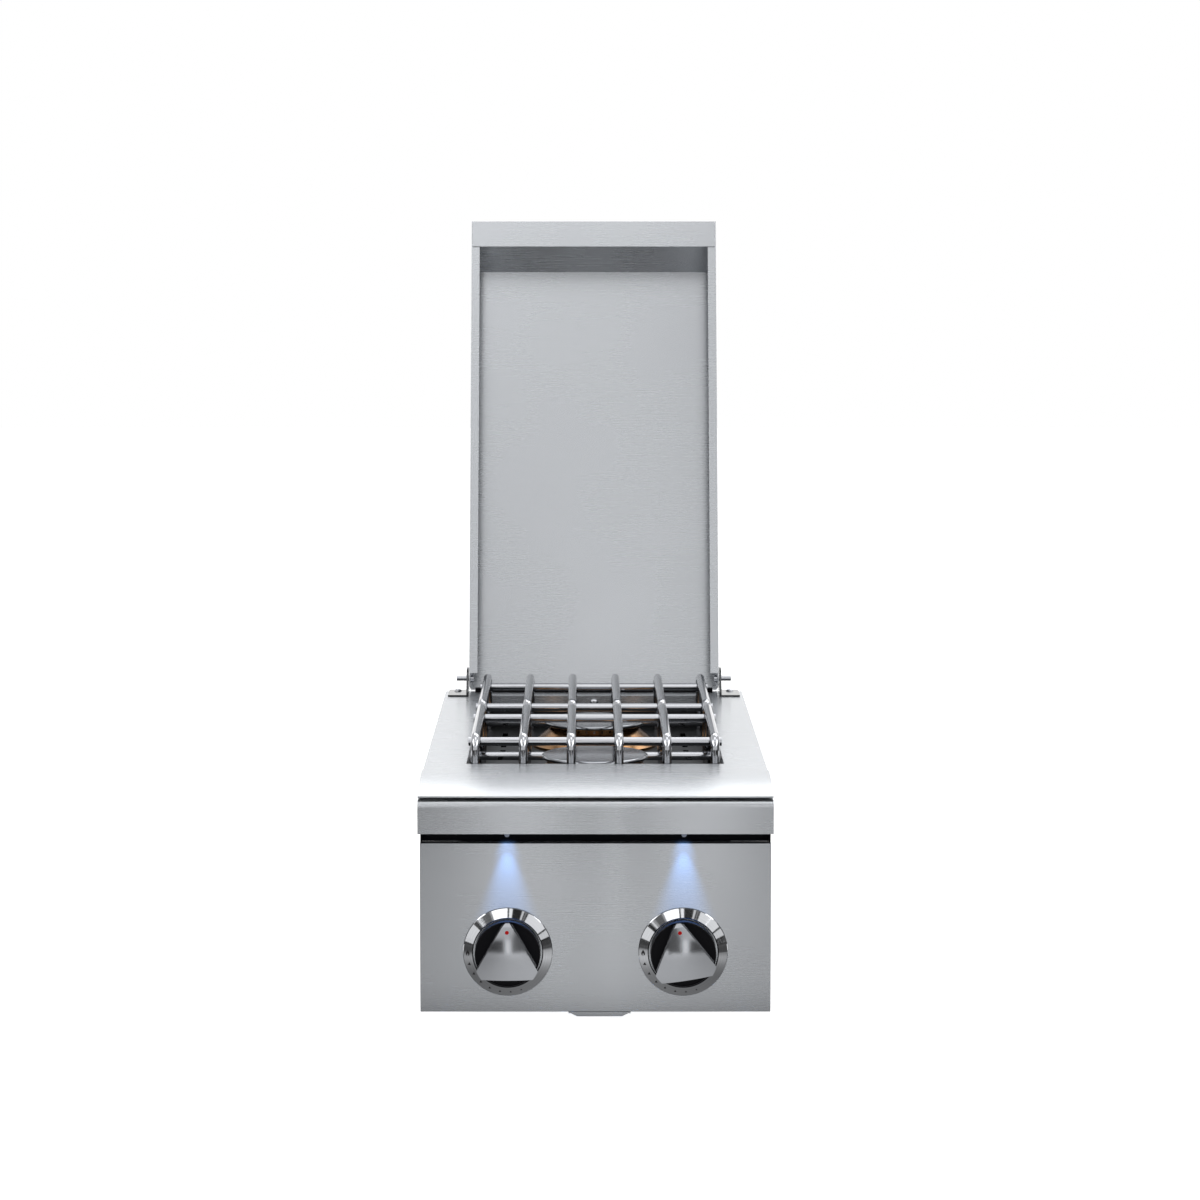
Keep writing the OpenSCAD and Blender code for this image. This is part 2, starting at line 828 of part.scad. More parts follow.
// Valve: brass body with a bonnet, an inlet saddle on the manifold and a gas jet
module valve(side, mid) {
    x = side * knob_x;
    color(brass)
    difference() {
        union() {
            rod_y(x, [valve_y, valve_end], knob_z, valve_r);
            rod_y(x, [valve_y - 12, valve_y + 1], knob_z, valve_neck_r);
            block([x - 17, x + 17], [valve_y - 1, valve_y + 4], [knob_z - 17, knob_z + 17]);
            rod_z(x, pipe_y, [pipe_z, knob_z], 7);
            jet(side, mid, 5.5, 0);
        }
        rod_x([x - 20, x + 20], pipe_y, pipe_z, pipe_r);
        rod_y(x, [valve_y + 1, valve_end - 5], knob_z, plug_r);
        rod_y(x, [valve_y - 13, valve_y + 2], knob_z, stem_r + run_gap);
        rod_z(x, pipe_y, [pipe_z, knob_z], 3.5);
        jet(side, mid, 1, 1);
    }
}

// The jet stands on the mixer tube's axis and ends inside its mouth
module jet(side, mid, r, more) {
    length = norm([knob_x, mid - mixer_y]);
    from_burner(side, mid) rod_x([mixer_len(mid) - 6 - more, length + 1 + more * 6], 0, 0, r);
}

module left_valve() { valve(LEFT, front_burner_y); }
module right_valve() { valve(RIGHT, rear_burner_y); }

// Valve plug: turning core inside a valve, driven by the stem's flat
module valve_plug(side) {
    length = valve_end - valve_y - 6 - 2 * sheet_gap;
    start = valve_y - face_y + 1 + sheet_gap;
    color(steel)
    at_knob(side)
    difference() {
        rod_y(0, [start, start + length], 0, plug_r - run_gap);
        flatted_bar(start - 1, stem_end + push_travel + 2, stem_r + run_gap);
        rod_z(0, start + length / 2, [-plug_r - 1, 0], 2.5);
    }
}

module left_valve_plug() { valve_plug(LEFT); }
module right_valve_plug() { valve_plug(RIGHT); }

// Knob stem: flatted shaft from inside the plug to inside the knob's handle
module knob_stem(side) {
    color(steel)
    at_knob(side) flatted_bar(-stem_seat, stem_end, stem_r);
}

module left_knob_stem() { knob_stem(LEFT); }
module right_knob_stem() { knob_stem(RIGHT); }

// Knob skirt: black disc behind the handle
module knob_skirt(side) {
    back = -push_travel - 1.5;
    color(black)
    at_knob(side)
    difference() {
        rod_y(0, [-skirt_reach, back], 0, knob_r);
        flatted_bar(-skirt_reach - 1, back + 1, stem_r + hole_gap);
    }
}

module left_knob_skirt() { knob_skirt(LEFT); }
module right_knob_skirt() { knob_skirt(RIGHT); }

// Knob handle: three-sided grip with sloping flats and a domed face, its corners cut to the
// knob's circle, on a foot with a rim that frames the skirt
module knob_handle(side) {
    foot = [-skirt_reach - rim_h, -skirt_reach];
    color(polished)
    at_knob(side)
    difference() {
        union() {
            intersection() {
                rod_y(0, [-knob_reach, -skirt_reach], 0, knob_r);
                translate([0, face_r - knob_reach, 0]) sphere(face_r, $fn = 240);
                between_flats(handle_inset);
            }
            intersection() {
                rod_y(0, foot, 0, knob_r);
                between_flats(handle_inset + rail_w);
            }
            difference() {
                rod_y(0, foot, 0, knob_r);
                rod_y(0, [foot[0] - 1, foot[1] + 1], 0, knob_r - rim_w);
            }
        }
        flatted_bar(-stem_seat - 0.5, -skirt_reach + 1, stem_r + hole_gap);
    }
}

// The space between three flats that lean in towards the front
module between_flats(inset) {
    intersection() {
        one_flat(0, inset);
        one_flat(120, inset);
        one_flat(240, inset);
    }
}

module one_flat(turn, inset) {
    size = 4 * knob_r;
    rotate([0, turn, 0]) translate([0, -knob_reach, -inset])
        rotate([handle_draft, 0, 0]) translate([-size / 2, -size / 2, 0]) cube(size);
}

module left_knob_handle() { knob_handle(LEFT); }
module right_knob_handle() { knob_handle(RIGHT); }

// Bezel: sloping ring round a knob, drawn as radius and distance from the panel's face
module bezel(side) {
    inner = bezel_r - bezel_w;
    color(polished)
    turn_front(side) polygon([
        [inner, 0], [bezel_r, 0], [bezel_r, 1.2], [bezel_r - 0.6, 1.8],
        [inner + 1, bezel_rise], [inner, bezel_rise - 0.4]
    ]);
}

module left_bezel() { bezel(LEFT); }
module right_bezel() { bezel(RIGHT); }

// Hinge bracket: upright ear with the pin's hole, on a foot screwed to the deck
module hinge_bracket(side) {
    x = bracket_x;
    front = rear_y - bracket_d;
    color(steel)
    difference() {
        union() {
            run_x(side > 0 ? [x, x + bracket_t] : [-x - bracket_t, -x])
                difference() {
                    hull() {
                        translate([pin_y, pin_z]) circle(12.5, $fn = 48);
                        translate([front, deck_h]) square([bracket_d, 5]);
                    }
                    translate([pin_y, pin_z]) circle(pin_r + run_gap);
                }
            side_block(side, [x, x + bracket_t + bracket_foot], [front, rear_y],
                [deck_h, deck_h + 2]);
        }
        rod_z(side * screw_x, screw_y, [deck_h - 1, deck_h + 3], screw_r + hole_gap);
    }
}

module left_hinge_bracket() { hinge_bracket(LEFT); }
module right_hinge_bracket() { hinge_bracket(RIGHT); }

// Rear baffle: black strip on the deck that closes the gap below the open lid
module rear_baffle() {
    back = rear_y - slide_gap;
    color(black)
    block([-baffle_half, baffle_half], [back - baffle_d, back], [deck_h, deck_h + baffle_h]);
}

// Pivot bolt: hinge pin with its head inside the lid's side
module pivot_bolt(side) {
    color(polished)
    translate([0, pin_y, pin_z]) rotate([0, side * 90, 0])
    union() {
        translate([0, 0, lid_half - lid_sheet - 3.5]) cylinder(r = 5.2, h = 3.5);
        translate([0, 0, lid_half - lid_sheet - 1])
            cylinder(r = pin_r, h = pin_out + lid_sheet + 1);
    }
}

module left_pivot_bolt() { pivot_bolt(LEFT); }
module right_pivot_bolt() { pivot_bolt(RIGHT); }

// Round-head screw with a cross recess, head up at the origin
module round_screw(head_r, head_h, shank_r, length) {
    ball = (pow(head_r, 2) + pow(head_h, 2)) / (2 * head_h);
    union() {
        difference() {
            intersection() {
                translate([0, 0, head_h - ball]) sphere(ball, $fn = 48);
                cylinder(r = head_r, h = head_h);
            }
            for (turn = [0, 90]) rotate([0, 0, turn])
                translate([-head_r / 2, -0.5, head_h * 0.45]) cube([head_r, 1, head_h]);
        }
        translate([0, 0, -length]) cylinder(r = shank_r, h = length + 0.2);
    }
}

// Screws that hold the two hinge brackets on the deck
module hinge_screws() {
    color(polished)
    for (side = [LEFT, RIGHT])
        translate([side * screw_x, screw_y, deck_h + 2]) round_screw(4.6, 2.6, screw_r, 9);
}

module wall_screw_holes() {
    rod_y(0, [box_y - 1, open_y + 1], wall_screw_z, screw_r + hole_gap);
    rod_y(0, [open_end - 1, box_end + 1], wall_screw_z, screw_r + hole_gap);
}

// Screws through the opening's edge into the firebox, at the front and the rear
module wall_screws() {
    color(polished) {
        translate([0, open_y, wall_screw_z]) rotate([-90, 0, 0])
            round_screw(4.75, 2.8, screw_r, 6);
        translate([0, open_end, wall_screw_z]) rotate([90, 0, 0])
            round_screw(4.75, 2.8, screw_r, 6);
    }
}

// Places its children, drawn as the lid lies closed, where the open lid stands
module lid_place() {
    translate([0, pin_y, pin_z]) rotate([-open_angle, 0, 0]) children();
}

// Side of the lid, with its rear lower corner rounded so that it clears the deck
module lid_side() {
    polygon([
        [lid_tail, lid_top], [lid_tail, 0], [0, 0], [0, -lid_rim],
        [-lid_reach, -lid_rim], [-lid_crest, lid_top]
    ]);
    intersection() {
        circle(lid_rim);
        translate([-1, -lid_rim]) square([lid_tail + 1, lid_rim + 1]);
    }
}

// Lid shell: top, two sides with inward flanges, and a short edge at the rear
module lid_shell() {
    flange_y = [-lid_reach + lip_w + slit, -3.5];
    color(steel)
    lid_place()
    difference() {
        union() {
            block([-lid_half, lid_half], [-lid_crest, lid_tail], [lid_top - lid_sheet, lid_top]);
            block([-lid_half, lid_half], [lid_tail - lid_sheet, lid_tail],
                [lid_top - lid_hem, lid_top]);
            for (side = [LEFT, RIGHT]) {
                run_x(side > 0 ? [lid_half - lid_sheet, lid_half] : [-lid_half, lid_sheet - lid_half])
                    lid_side();
                side_block(side, [lid_half - side_lip, lid_half], flange_y,
                    [-lid_rim, lid_sheet - lid_rim]);
            }
        }
        rod_x([-lid_half - 1, lid_half + 1], 0, 0, pin_r + 0.02);
    }
}

// Lid front: sloping sheet between the lid's sides, with the lip along the rim
module lid_front() {
    half = lid_half - lid_sheet - sheet_gap / 2;
    slope = atan2(lid_top + lid_rim, lid_slope);
    foot = (1 + 1 / cos(slope)) / tan(slope);
    crest = [-lid_crest - sheet_gap / 2, lid_top - sheet_gap / 2 * tan(slope)];
    color(steel)
    lid_place()
    run_x([-half, half]) polygon([
        [-lid_reach, -lid_rim],
        crest,
        crest - [0, lid_sheet / cos(slope)],
        [-lid_reach + lid_sheet * foot, -lid_rim + lid_sheet],
        [-lid_reach + lip_w, -lid_rim + lid_sheet],
        [-lid_reach + lip_w, -lid_rim]
    ]);
}

// Bent rod of a grate: two legs, two bends and a level top
module bent_rod(x) {
    top = rod_z - bend_r;
    translate([x, 0, 0]) {
        rod_z(0, 0, [leg_z, top], rod_r);
        rod_z(0, grate_len, [leg_z, top], rod_r);
        rod_y(0, [bend_r, grate_len - bend_r], rod_z, rod_r);
        translate([0, bend_r, top]) rotate([0, 90, 0]) rotate([0, 0, 180])
            rotate_extrude(angle = 90) translate([bend_r, 0]) circle(rod_r);
        translate([0, grate_len - bend_r, top]) rotate([0, 90, 0]) rotate([0, 0, 90])
            rotate_extrude(angle = 90) translate([bend_r, 0]) circle(rod_r);
    }
}

// Grate: lengthwise rods bent down at both ends, on two cross bars
module grate(y) {
    color(dark_steel)
    translate([0, y, 0])
    union() {
        for (i = [0:rod_count - 1]) bent_rod((i - (rod_count - 1) / 2) * rod_pitch);
        for (bar = [bar_front, grate_len - bar_rear])
            rod_x([-bar_half, bar_half], bar, bar_z, rod_r);
    }
}

module front_grate() { grate(front_grate_y); }
module rear_grate() { grate(rear_grate_y); }

// Drip tray: shallow pan with a long strap to the pull tab under the panel
module drip_tray() {
    strap = [tray_top - wall, tray_top];
    x = tab_offset;
    color(steel)
    union() {
        difference() {
            block([-tray_half, tray_half], [tray_y, tray_end], [tray_z, tray_top]);
            block([wall - tray_half, tray_half - wall], [tray_y + wall, tray_end - wall],
                [tray_z + wall, tray_top + 1]);
        }
        block([x - tab_w / 2, x + tab_w / 2], [face_y, tray_y + wall], strap);
        translate([x, face_y + wall, 0]) rotate([90, 0, 0]) linear_extrude(wall) polygon([
            [-tab_w / 2, strap[1]], [-tab_tip_w / 2, tab_z],
            [tab_tip_w / 2, tab_z], [tab_w / 2, strap[1]]
        ]);
    }
}

// Tray runner: flat bar along the firebox's lower edge that the tray slides on
module tray_runner(side) {
    color(steel)
    side_block(side, [box_in - runner_w, box_in], [box_y + wall, box_end - wall], [0, runner_t]);
}

module left_tray_runner() { tray_runner(LEFT); }
module right_tray_runner() { tray_runner(RIGHT); }

// A sealed box on the control box's floor, between two ears for its screws
module sealed_box(x, size) {
    y = module_y;
    z = floor_z + wall;
    ear = ear_w / 2;
    mid = y + size[1] / 2;
    difference() {
        union() {
            block([x - size[0] / 2, x + size[0] / 2], [y, y + size[1]], [z, z + size[2]]);
            block([x - size[0] / 2 - ear_out, x + size[0] / 2 + ear_out], [mid - ear, mid + ear],
                [z, z + ear_t]);
        }
        for (side = [LEFT, RIGHT])
            rod_z(x + side * (size[0] + ear_out) / 2, mid, [z - 1, z + ear_t + 1], ear_hole_r);
    }
}

// Ignition module, with four wire tabs
module ignition_module() {
    top = floor_z + wall + ignition_size[2];
    mid = module_y + ignition_size[1] / 2;
    color(black)
    union() {
        sealed_box(0, ignition_size);
        for (step = [-1.5, -0.5, 0.5, 1.5])
            block([step * tab_pitch - 3, step * tab_pitch + 3], [mid - 0.4, mid + 0.4],
                [top - 1, top + 7]);
    }
}

// Driver of the panel lamps
module lamp_driver() {
    color(black)
    sealed_box(driver_x, driver_size);
}

firebox_left();
firebox_right();
firebox_front();
firebox_rear();
deck();
front_apron();
brow_rail();
control_panel();
control_box();
heat_shield();
lamp_rail();
left_lamp();
right_lamp();
burner_pan();
front_burner_base();
rear_burner_base();
front_burner_cap();
rear_burner_cap();
front_mixer_tube();
rear_mixer_tube();
front_tie_rod();
rear_tie_rod();
front_igniter();
rear_igniter();
manifold();
manifold_brackets();
gas_inlet();
left_valve();
right_valve();
left_valve_plug();
right_valve_plug();
left_knob_stem();
right_knob_stem();
left_knob_skirt();
right_knob_skirt();
left_knob_handle();
right_knob_handle();
left_bezel();
right_bezel();
left_hinge_bracket();
right_hinge_bracket();
rear_baffle();
left_pivot_bolt();
right_pivot_bolt();
hinge_screws();
wall_screws();
lid_shell();
lid_front();
front_grate();
rear_grate();
drip_tray();
left_tray_runner();
right_tray_runner();
ignition_module();
lamp_driver();
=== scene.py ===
"""Double side burner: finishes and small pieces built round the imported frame, and its studio.

The file is laid out as an add-on and run as a script. Lengths are in metres unless a
property says millimetres. X runs to the right, Y to the back and Z up.
"""

import json
import math

import bmesh
import bpy
from bpy.props import FloatProperty, FloatVectorProperty, IntProperty, PointerProperty
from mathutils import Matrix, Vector
from mathutils.bvhtree import BVHTree

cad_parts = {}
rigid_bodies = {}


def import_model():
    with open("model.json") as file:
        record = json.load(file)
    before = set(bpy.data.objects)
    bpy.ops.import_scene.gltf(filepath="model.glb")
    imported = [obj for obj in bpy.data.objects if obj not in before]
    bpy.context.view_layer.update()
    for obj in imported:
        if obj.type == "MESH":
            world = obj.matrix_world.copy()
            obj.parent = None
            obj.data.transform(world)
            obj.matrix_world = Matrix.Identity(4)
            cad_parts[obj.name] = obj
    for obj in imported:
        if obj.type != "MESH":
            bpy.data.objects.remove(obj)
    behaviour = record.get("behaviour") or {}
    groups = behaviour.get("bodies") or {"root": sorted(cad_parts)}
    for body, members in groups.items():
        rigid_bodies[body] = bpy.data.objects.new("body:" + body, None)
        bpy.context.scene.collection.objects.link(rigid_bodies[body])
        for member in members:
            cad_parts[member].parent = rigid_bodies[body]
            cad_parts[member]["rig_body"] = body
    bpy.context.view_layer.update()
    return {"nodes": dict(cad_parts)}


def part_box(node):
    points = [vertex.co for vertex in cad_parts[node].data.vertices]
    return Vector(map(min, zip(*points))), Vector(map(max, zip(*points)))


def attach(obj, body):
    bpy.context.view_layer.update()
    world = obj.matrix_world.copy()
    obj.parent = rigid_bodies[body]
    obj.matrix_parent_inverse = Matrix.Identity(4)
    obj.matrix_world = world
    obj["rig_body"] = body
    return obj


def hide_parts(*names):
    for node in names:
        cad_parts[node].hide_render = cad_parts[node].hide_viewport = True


bl_info = {
    "name": "Double side burner",
    "version": (1, 0, 0),
    "blender": (4, 5, 0),
    "location": "3D View > Sidebar > Side burner",
    "description": "Finishes the packed double side burner and sets up its studio",
    "category": "Object",
}

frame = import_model()

MM = 0.001
SIDES = {"left": -1, "right": 1}

# Sizes of the frame's pieces that their boxes don't tell
ROD_R = 4.5 * MM
BEZEL_RING = 10 * MM
BEZEL_EDGE = 1.8 * MM
BEZEL_OUTER_BEVEL = 0.6 * MM
BEZEL_INNER_BEVEL = 1 * MM
# The right knob stands turned from its off place
KNOB_TURNED = {"left": 0, "right": math.radians(9)}
# The grates' cross bars, from the rods' front and rear ends and below the rods' axes
BAR_FROM_FRONT = 33 * MM
BAR_FROM_REAR = 26 * MM
BAR_BELOW = 8.6 * MM
# A handle's rim round its skirt, painted near black as shade: outside this radius, and no further in front
# of the bezel's middle
RIM_INSIDE = 30.4 * MM
RIM_REACH = 13.5 * MM
# Rows of rivets, from the firebox's corners, its underside and its top
RIVET_INSET = 9 * MM
RIVET_UP = 22 * MM
RIVET_DOWN = 20 * MM
# How thick the dial's print is, and how far it stands off the bezel
PRINT = 0.12 * MM
PRINT_OFF = 0.05 * MM

# Where the frame's own pieces are, for what is placed on them
PANEL_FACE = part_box("control_panel")[0].y
BEZEL = {side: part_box(f"{side}_bezel") for side in SIDES}
KNOB = {side: (low + high) / 2 for side, (low, high) in BEZEL.items()}


def colour(name, description, value):
    return FloatVectorProperty(
        name=name, description=description, subtype="COLOR", size=3, min=0, max=1, default=value
    )


def millimetres(name, description, value, low=0.0, high=1000.0):
    return FloatProperty(name=name, description=description, default=value, min=low, max=high)


def share(name, description, value):
    return FloatProperty(
        name=name, description=description, subtype="FACTOR", default=value, min=0, max=1
    )


class BurnerFinish(bpy.types.PropertyGroup):
    """Colours and roughness of the finishes."""

    steel: colour("Stainless", "Colour of the brushed sheet", (0.43, 0.445, 0.465))
    steel_rough: share("Sheet roughness", "Roughness of the brushed sheet", 0.27)
    # The firebox's sheet is painted near black as the shade inside the firebox; the real sheet is stainless
    firebox_shade: colour("Firebox shade", "Colour of the firebox sheet painted dark as shade", (0.026, 0.027, 0.029))
    rod: colour("Rods", "Colour of the drawn rods", (0.40, 0.408, 0.43))
    cap: colour("Burner caps", "Colour of the turned caps", (0.28, 0.29, 0.31))
    bezel: colour("Bezels", "Colour of the polished rings", (0.52, 0.53, 0.55))
    handle: colour("Handles", "Colour of the satin handles", (0.34, 0.35, 0.37))
    plastic: colour("Plastic", "Colour of the black plastic", (0.008, 0.008, 0.010))
    brass: colour("Burner brass", "Colour of the burner bodies", (0.30, 0.165, 0.075))
    fitting: colour("Fitting brass", "Colour of the valves and fittings", (0.66, 0.50, 0.24))
    pipe: colour("Pipe", "Colour of the manifold's paint", (0.035, 0.035, 0.038))
    ceramic: colour("Ceramic", "Colour of the igniters", (0.80, 0.78, 0.72))
    lamp: colour("Lamp light", "Colour of the lamps' light", (0.21, 0.46, 1.0))
    print_ink: colour("Dial print", "Colour of the dial marks", (0.006, 0.006, 0.008))
    dot: colour("Pointer dot", "Colour of the dot on a handle", (0.60, 0.003, 0.003))


class BurnerDetail(bpy.types.PropertyGroup):
    """Sizes of the small pieces."""

    edge: millimetres("Sheet edge", "Radius of a bent or cut edge", 0.45, 0.05, 1)
    handle_edge: millimetres("Handle edge", "Radius of a handle's edges", 0.5, 0.05, 1)
    dial_r: millimetres("Dial radius", "Distance of the marks from the axis", 39.2, 35, 42)
    mark_count: IntProperty(name="Marks", description="Triangles on a dial", default=7, min=3, max=9)
    mark_first: millimetres("First mark", "Width of the largest triangle", 3.3, 1, 5)
    mark_last: millimetres("Last mark", "Width of the smallest triangle", 1.7, 0.5, 5)
    dot_r: millimetres("Dot radius", "Radius of the pointer dot", 1.9, 1, 4)
    dot_up: millimetres("Dot height", "Distance of the dot from the axis", 26.7, 20, 30)
    weld: millimetres("Weld bead", "Size of a bead where rods cross", 2.0, 0.5, 4)
    rivet: millimetres("Rivet", "Radius of a rivet's head", 3.0, 1, 5)
    rivet_count: IntProperty(name="Rivets", description="Rivets in a row", default=7, min=2, max=20)


class BurnerStudio(bpy.types.PropertyGroup):
    """Camera and lights."""

    camera_x: FloatProperty(name="Side", description="Camera's X", unit="LENGTH", default=-0.0101)
    camera_y: FloatProperty(name="Distance", description="Camera's Y", unit="LENGTH", default=-3.5397)
    camera_z: FloatProperty(name="Height", description="Camera's Z", unit="LENGTH", default=0.7909)
    pitch: FloatProperty(
        name="Pitch", description="How far it looks down", subtype="ANGLE", default=math.radians(5.544)
    )
    lens: FloatProperty(name="Lens", description="Focal length", unit="CAMERA", default=99.156)
    shift_x: FloatProperty(name="Shift X", description="Lens shift to the side", default=0.0124)
    shift_y: FloatProperty(name="Shift Y", description="Lens shift upwards", default=-0.05)
    overhead: FloatProperty(name="Overhead", description="Softbox above the lid, watts", default=42, min=0)
    top: FloatProperty(name="Top", description="Softbox above the front, watts", default=2, min=0)
    lamp_watts: FloatProperty(
        name="Panel lamps", description="Light of one panel lamp's cones", default=150, min=0
    )


# Node trees


def put(tree, kind, inputs=None, **settings):
    """Adds a node, sets its properties, and links or sets its inputs."""
    made = tree.nodes.new(kind)
    for key, value in settings.items():
        setattr(made, key, value)
    for key, value in (inputs or {}).items():
        if isinstance(value, bpy.types.NodeSocket):
            tree.links.new(value, made.inputs[key])
        else:
            made.inputs[key].default_value = value
    return made


def maths(tree, operation, *values):
    return put(tree, "ShaderNodeMath", dict(enumerate(values)), operation=operation).outputs[0]


def vector_maths(tree, operation, *values):
    return put(tree, "ShaderNodeVectorMath", dict(enumerate(values)), operation=operation).outputs[0]


def length(tree, vector):
    return put(tree, "ShaderNodeVectorMath", {0: vector}, operation="LENGTH").outputs["Value"]


def mix_vector(tree, factor, first, second):
    """One vector where factor is 0, and the other where it is 1."""
    values = {0: factor, 4: first, 5: second}
    return put(tree, "ShaderNodeMix", values, data_type="VECTOR", factor_mode="UNIFORM").outputs[1]


def shades(tree, factor, first, second):
    """A colour that runs from one to the other as factor goes from 0 to 1."""
    values = {0: factor, 6: (*first, 1), 7: (*second, 1)}
    return put(tree, "ShaderNodeMix", values, data_type="RGBA").outputs[2]


def between(tree, value, low, high):
    """A noise value from 0 to 1, spread from low to high."""
    values = {"Value": value, "From Min": 0.25, "From Max": 0.75, "To Min": low, "To Max": high}
    return put(tree, "ShaderNodeMapRange", values).outputs[0]


def around(tree, value, middle, reach):
    """A noise value from 0 to 1, spread as far below a middle as above it."""
    return between(tree, value, middle - reach, middle + reach)


def on_object(tree):
    """A point's place on its object, which patterns are read from."""
    return put(tree, "ShaderNodeTexCoord").outputs["Object"]


def noise(tree, where, scale, detail=2.0):
    made = put(tree, "ShaderNodeTexNoise", {"Vector": where, "Scale": scale, "Detail": detail})
    return made.outputs["Fac"]


def tint(rgb, amount):
    """A colour made darker or lighter by an amount."""
    return tuple(min(1.0, c * amount) for c in rgb)


def material(name):
    """A new material with an empty tree, and the tree."""
    made = bpy.data.materials.new(name)
    made.use_nodes = True
    made.node_tree.nodes.clear()
    return made, made.node_tree


def surface(tree, rough, **inputs):
    """The main shader and the output, with names that take an underscore for a space."""
    named = {key.replace("_", " ").title().replace("Ior", "IOR"): v for key, v in inputs.items()}
    shader = put(tree, "ShaderNodeBsdfPrincipled", {"Roughness": rough, **named})
    put(tree, "ShaderNodeOutputMaterial", {"Surface": shader.outputs[0]})


def bump(tree, height, distance, strength):
    made = put(tree, "ShaderNodeBump", {"Height": height, "Distance": distance, "Strength": strength})
    return made.outputs[0]


def brushed(name, rgb, rough, anisotropy=0.72, metal=0.84):
    """Sheet brushed along X, or along Y on faces that look to the side."""
    made, tree = material(name)
    coordinates = put(tree, "ShaderNodeTexCoord").outputs
    place = coordinates["Object"]
    parts = put(tree, "ShaderNodeSeparateXYZ", {0: coordinates["Normal"]})
    side = maths(tree, "GREATER_THAN", maths(tree, "ABSOLUTE", parts.outputs[0]), 0.7)
    quarter = (0, 0, math.pi / 2)
    turned = put(tree, "ShaderNodeMapping", {"Vector": place, "Rotation": quarter}).outputs[0]
    long_way = vector_maths(tree, "MULTIPLY", mix_vector(tree, side, place, turned), (0.010, 1, 1))
    streak = maths(tree, "MULTIPLY", noise(tree, long_way, 1300), 0.55)
    fine = maths(tree, "MULTIPLY", noise(tree, long_way, 4200), 0.45)
    tone = maths(tree, "ADD", streak, fine)
    base = shades(tree, between(tree, tone, 0, 1), tint(rgb, 0.978), tint(rgb, 1.022))
    cloud = noise(tree, place, 9, 3)
    worn = maths(tree, "ADD", around(tree, tone, 0, 0.015), around(tree, cloud, rough, 0.02))
    grain = mix_vector(tree, side, (1, 0, 0), (0, 1, 0))
    grain = put(
        tree,
        "ShaderNodeVectorTransform",
        {0: grain},
        vector_type="VECTOR",
        convert_from="OBJECT",
        convert_to="WORLD",
    ).outputs[0]
    facing = put(tree, "ShaderNodeNewGeometry").outputs["Normal"]
    surface(
        tree,
        worn,
        base_color=base,
        metallic=metal,
        anisotropic=anisotropy,
        tangent=vector_maths(tree, "CROSS_PRODUCT", facing, grain),
        normal=bump(tree, tone, 0.000006, 0.06),
    )
    return made


def turned_metal(name, rgb, rough, centre, axis, anisotropy, rings=1400):
    """Metal turned on a lathe round an axis through centre."""
    made, tree = material(name)
    place = on_object(tree)
    out = vector_maths(tree, "SUBTRACT", place, tuple(centre))
    flat = vector_maths(tree, "MULTIPLY", out, tuple(0 if i == axis else 1 for i in range(3)))
    radius = {"W": length(tree, flat), "Scale": rings}
    ring = put(tree, "ShaderNodeTexNoise", radius, noise_dimensions="1D").outputs[0]
    stain = noise(tree, place, 60, 3)
    base = shades(tree, between(tree, ring, 0, 1), tint(rgb, 0.94), tint(rgb, 1.05))
    worn = maths(tree, "ADD", around(tree, ring, 0, 0.02), around(tree, stain, rough, 0.015))
    surface(
        tree,
        worn,
        base_color=base,
        metallic=1.0,
        anisotropic=anisotropy,
        tangent=vector_maths(tree, "NORMALIZE", flat),
        normal=bump(tree, ring, 0.00001, 0.2),
    )
    return made


def plain_metal(name, rgb, rough, scale=240.0, depth=0.00002, rim=1.0, painted_shade=None):
    """Metal with a fine even grain, such as drawn rod, a casting or a satin grip."""
    made, tree = material(name)
    place = on_object(tree)
    grain = noise(tree, place, scale, 4)
    stain = noise(tree, place, 22, 3)
    base = shades(tree, between(tree, stain, 0, 1), tint(rgb, 0.93), tint(rgb, 1.05))
    # Where the mask is 1 the colour is painted near black, as shade
    if painted_shade:
        dark = {0: painted_shade(tree, place), 6: base, 7: (0.015, 0.015, 0.017, 1)}
        base = put(tree, "ShaderNodeMix", dark, data_type="RGBA").outputs[2]
    rubbed = between(tree, stain, rough - 0.02, rough + 0.03)
    worn = maths(tree, "ADD", around(tree, grain, 0, 0.02), rubbed)
    surface(
        tree,
        worn,
        base_color=base,
        metallic=1.0,
        specular_tint=(rim, rim, rim, 1),
        normal=bump(tree, grain, depth, 0.5),
    )
    return made


def painted_rim_shade(side):
    """1 on the rim round a knob's skirt, where the colour is painted near black as shade, and 0 on the rest
    of its handle.
    """

    def build(tree, place):
        out = vector_maths(tree, "SUBTRACT", place, tuple(KNOB[side]))
        flat = vector_maths(tree, "MULTIPLY", out, (1, 0, 1))
        depth = put(tree, "ShaderNodeSeparateXYZ", {0: out}).outputs[1]
        outer = maths(tree, "GREATER_THAN", length(tree, flat), RIM_INSIDE)
        return maths(tree, "MULTIPLY", outer, maths(tree, "GREATER_THAN", depth, -RIM_REACH))

    return build


def coated(name, rgb, rough, scale=900.0, shine=0.5):
    """Plastic, paint, ceramic or print with a fine grain."""
    made, tree = material(name)
    place = on_object(tree)
    grain = noise(tree, place, scale, 3)
    base = shades(tree, between(tree, grain, 0, 1), tint(rgb, 0.85), tint(rgb, 1.15))
    worn = around(tree, grain, rough, 0.04)
    rough_skin = bump(tree, grain, 0.00003, 0.5)
    surface(tree, worn, base_color=base, specular_ior_level=shine, normal=rough_skin)
    return made


def lit_lens(name, rgb, strength):
    """The lens of a lamp that is switched on."""
    made, tree = material(name)
    cloud = noise(tree, on_object(tree), 700)
    surface(
        tree,
        0.15,
        base_color=shades(tree, between(tree, cloud, 0, 1), (0.30, 0.31, 0.34), (0.36, 0.37, 0.40)),
        emission_color=(*rgb, 1),
        emission_strength=strength,
    )
    return made


# Pieces


def wear(piece, finish):
    """Gives a piece its one material."""
    piece.data.materials.clear()
    piece.data.materials.append(finish)


def body_of(node):
    return frame["nodes"][node]["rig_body"]


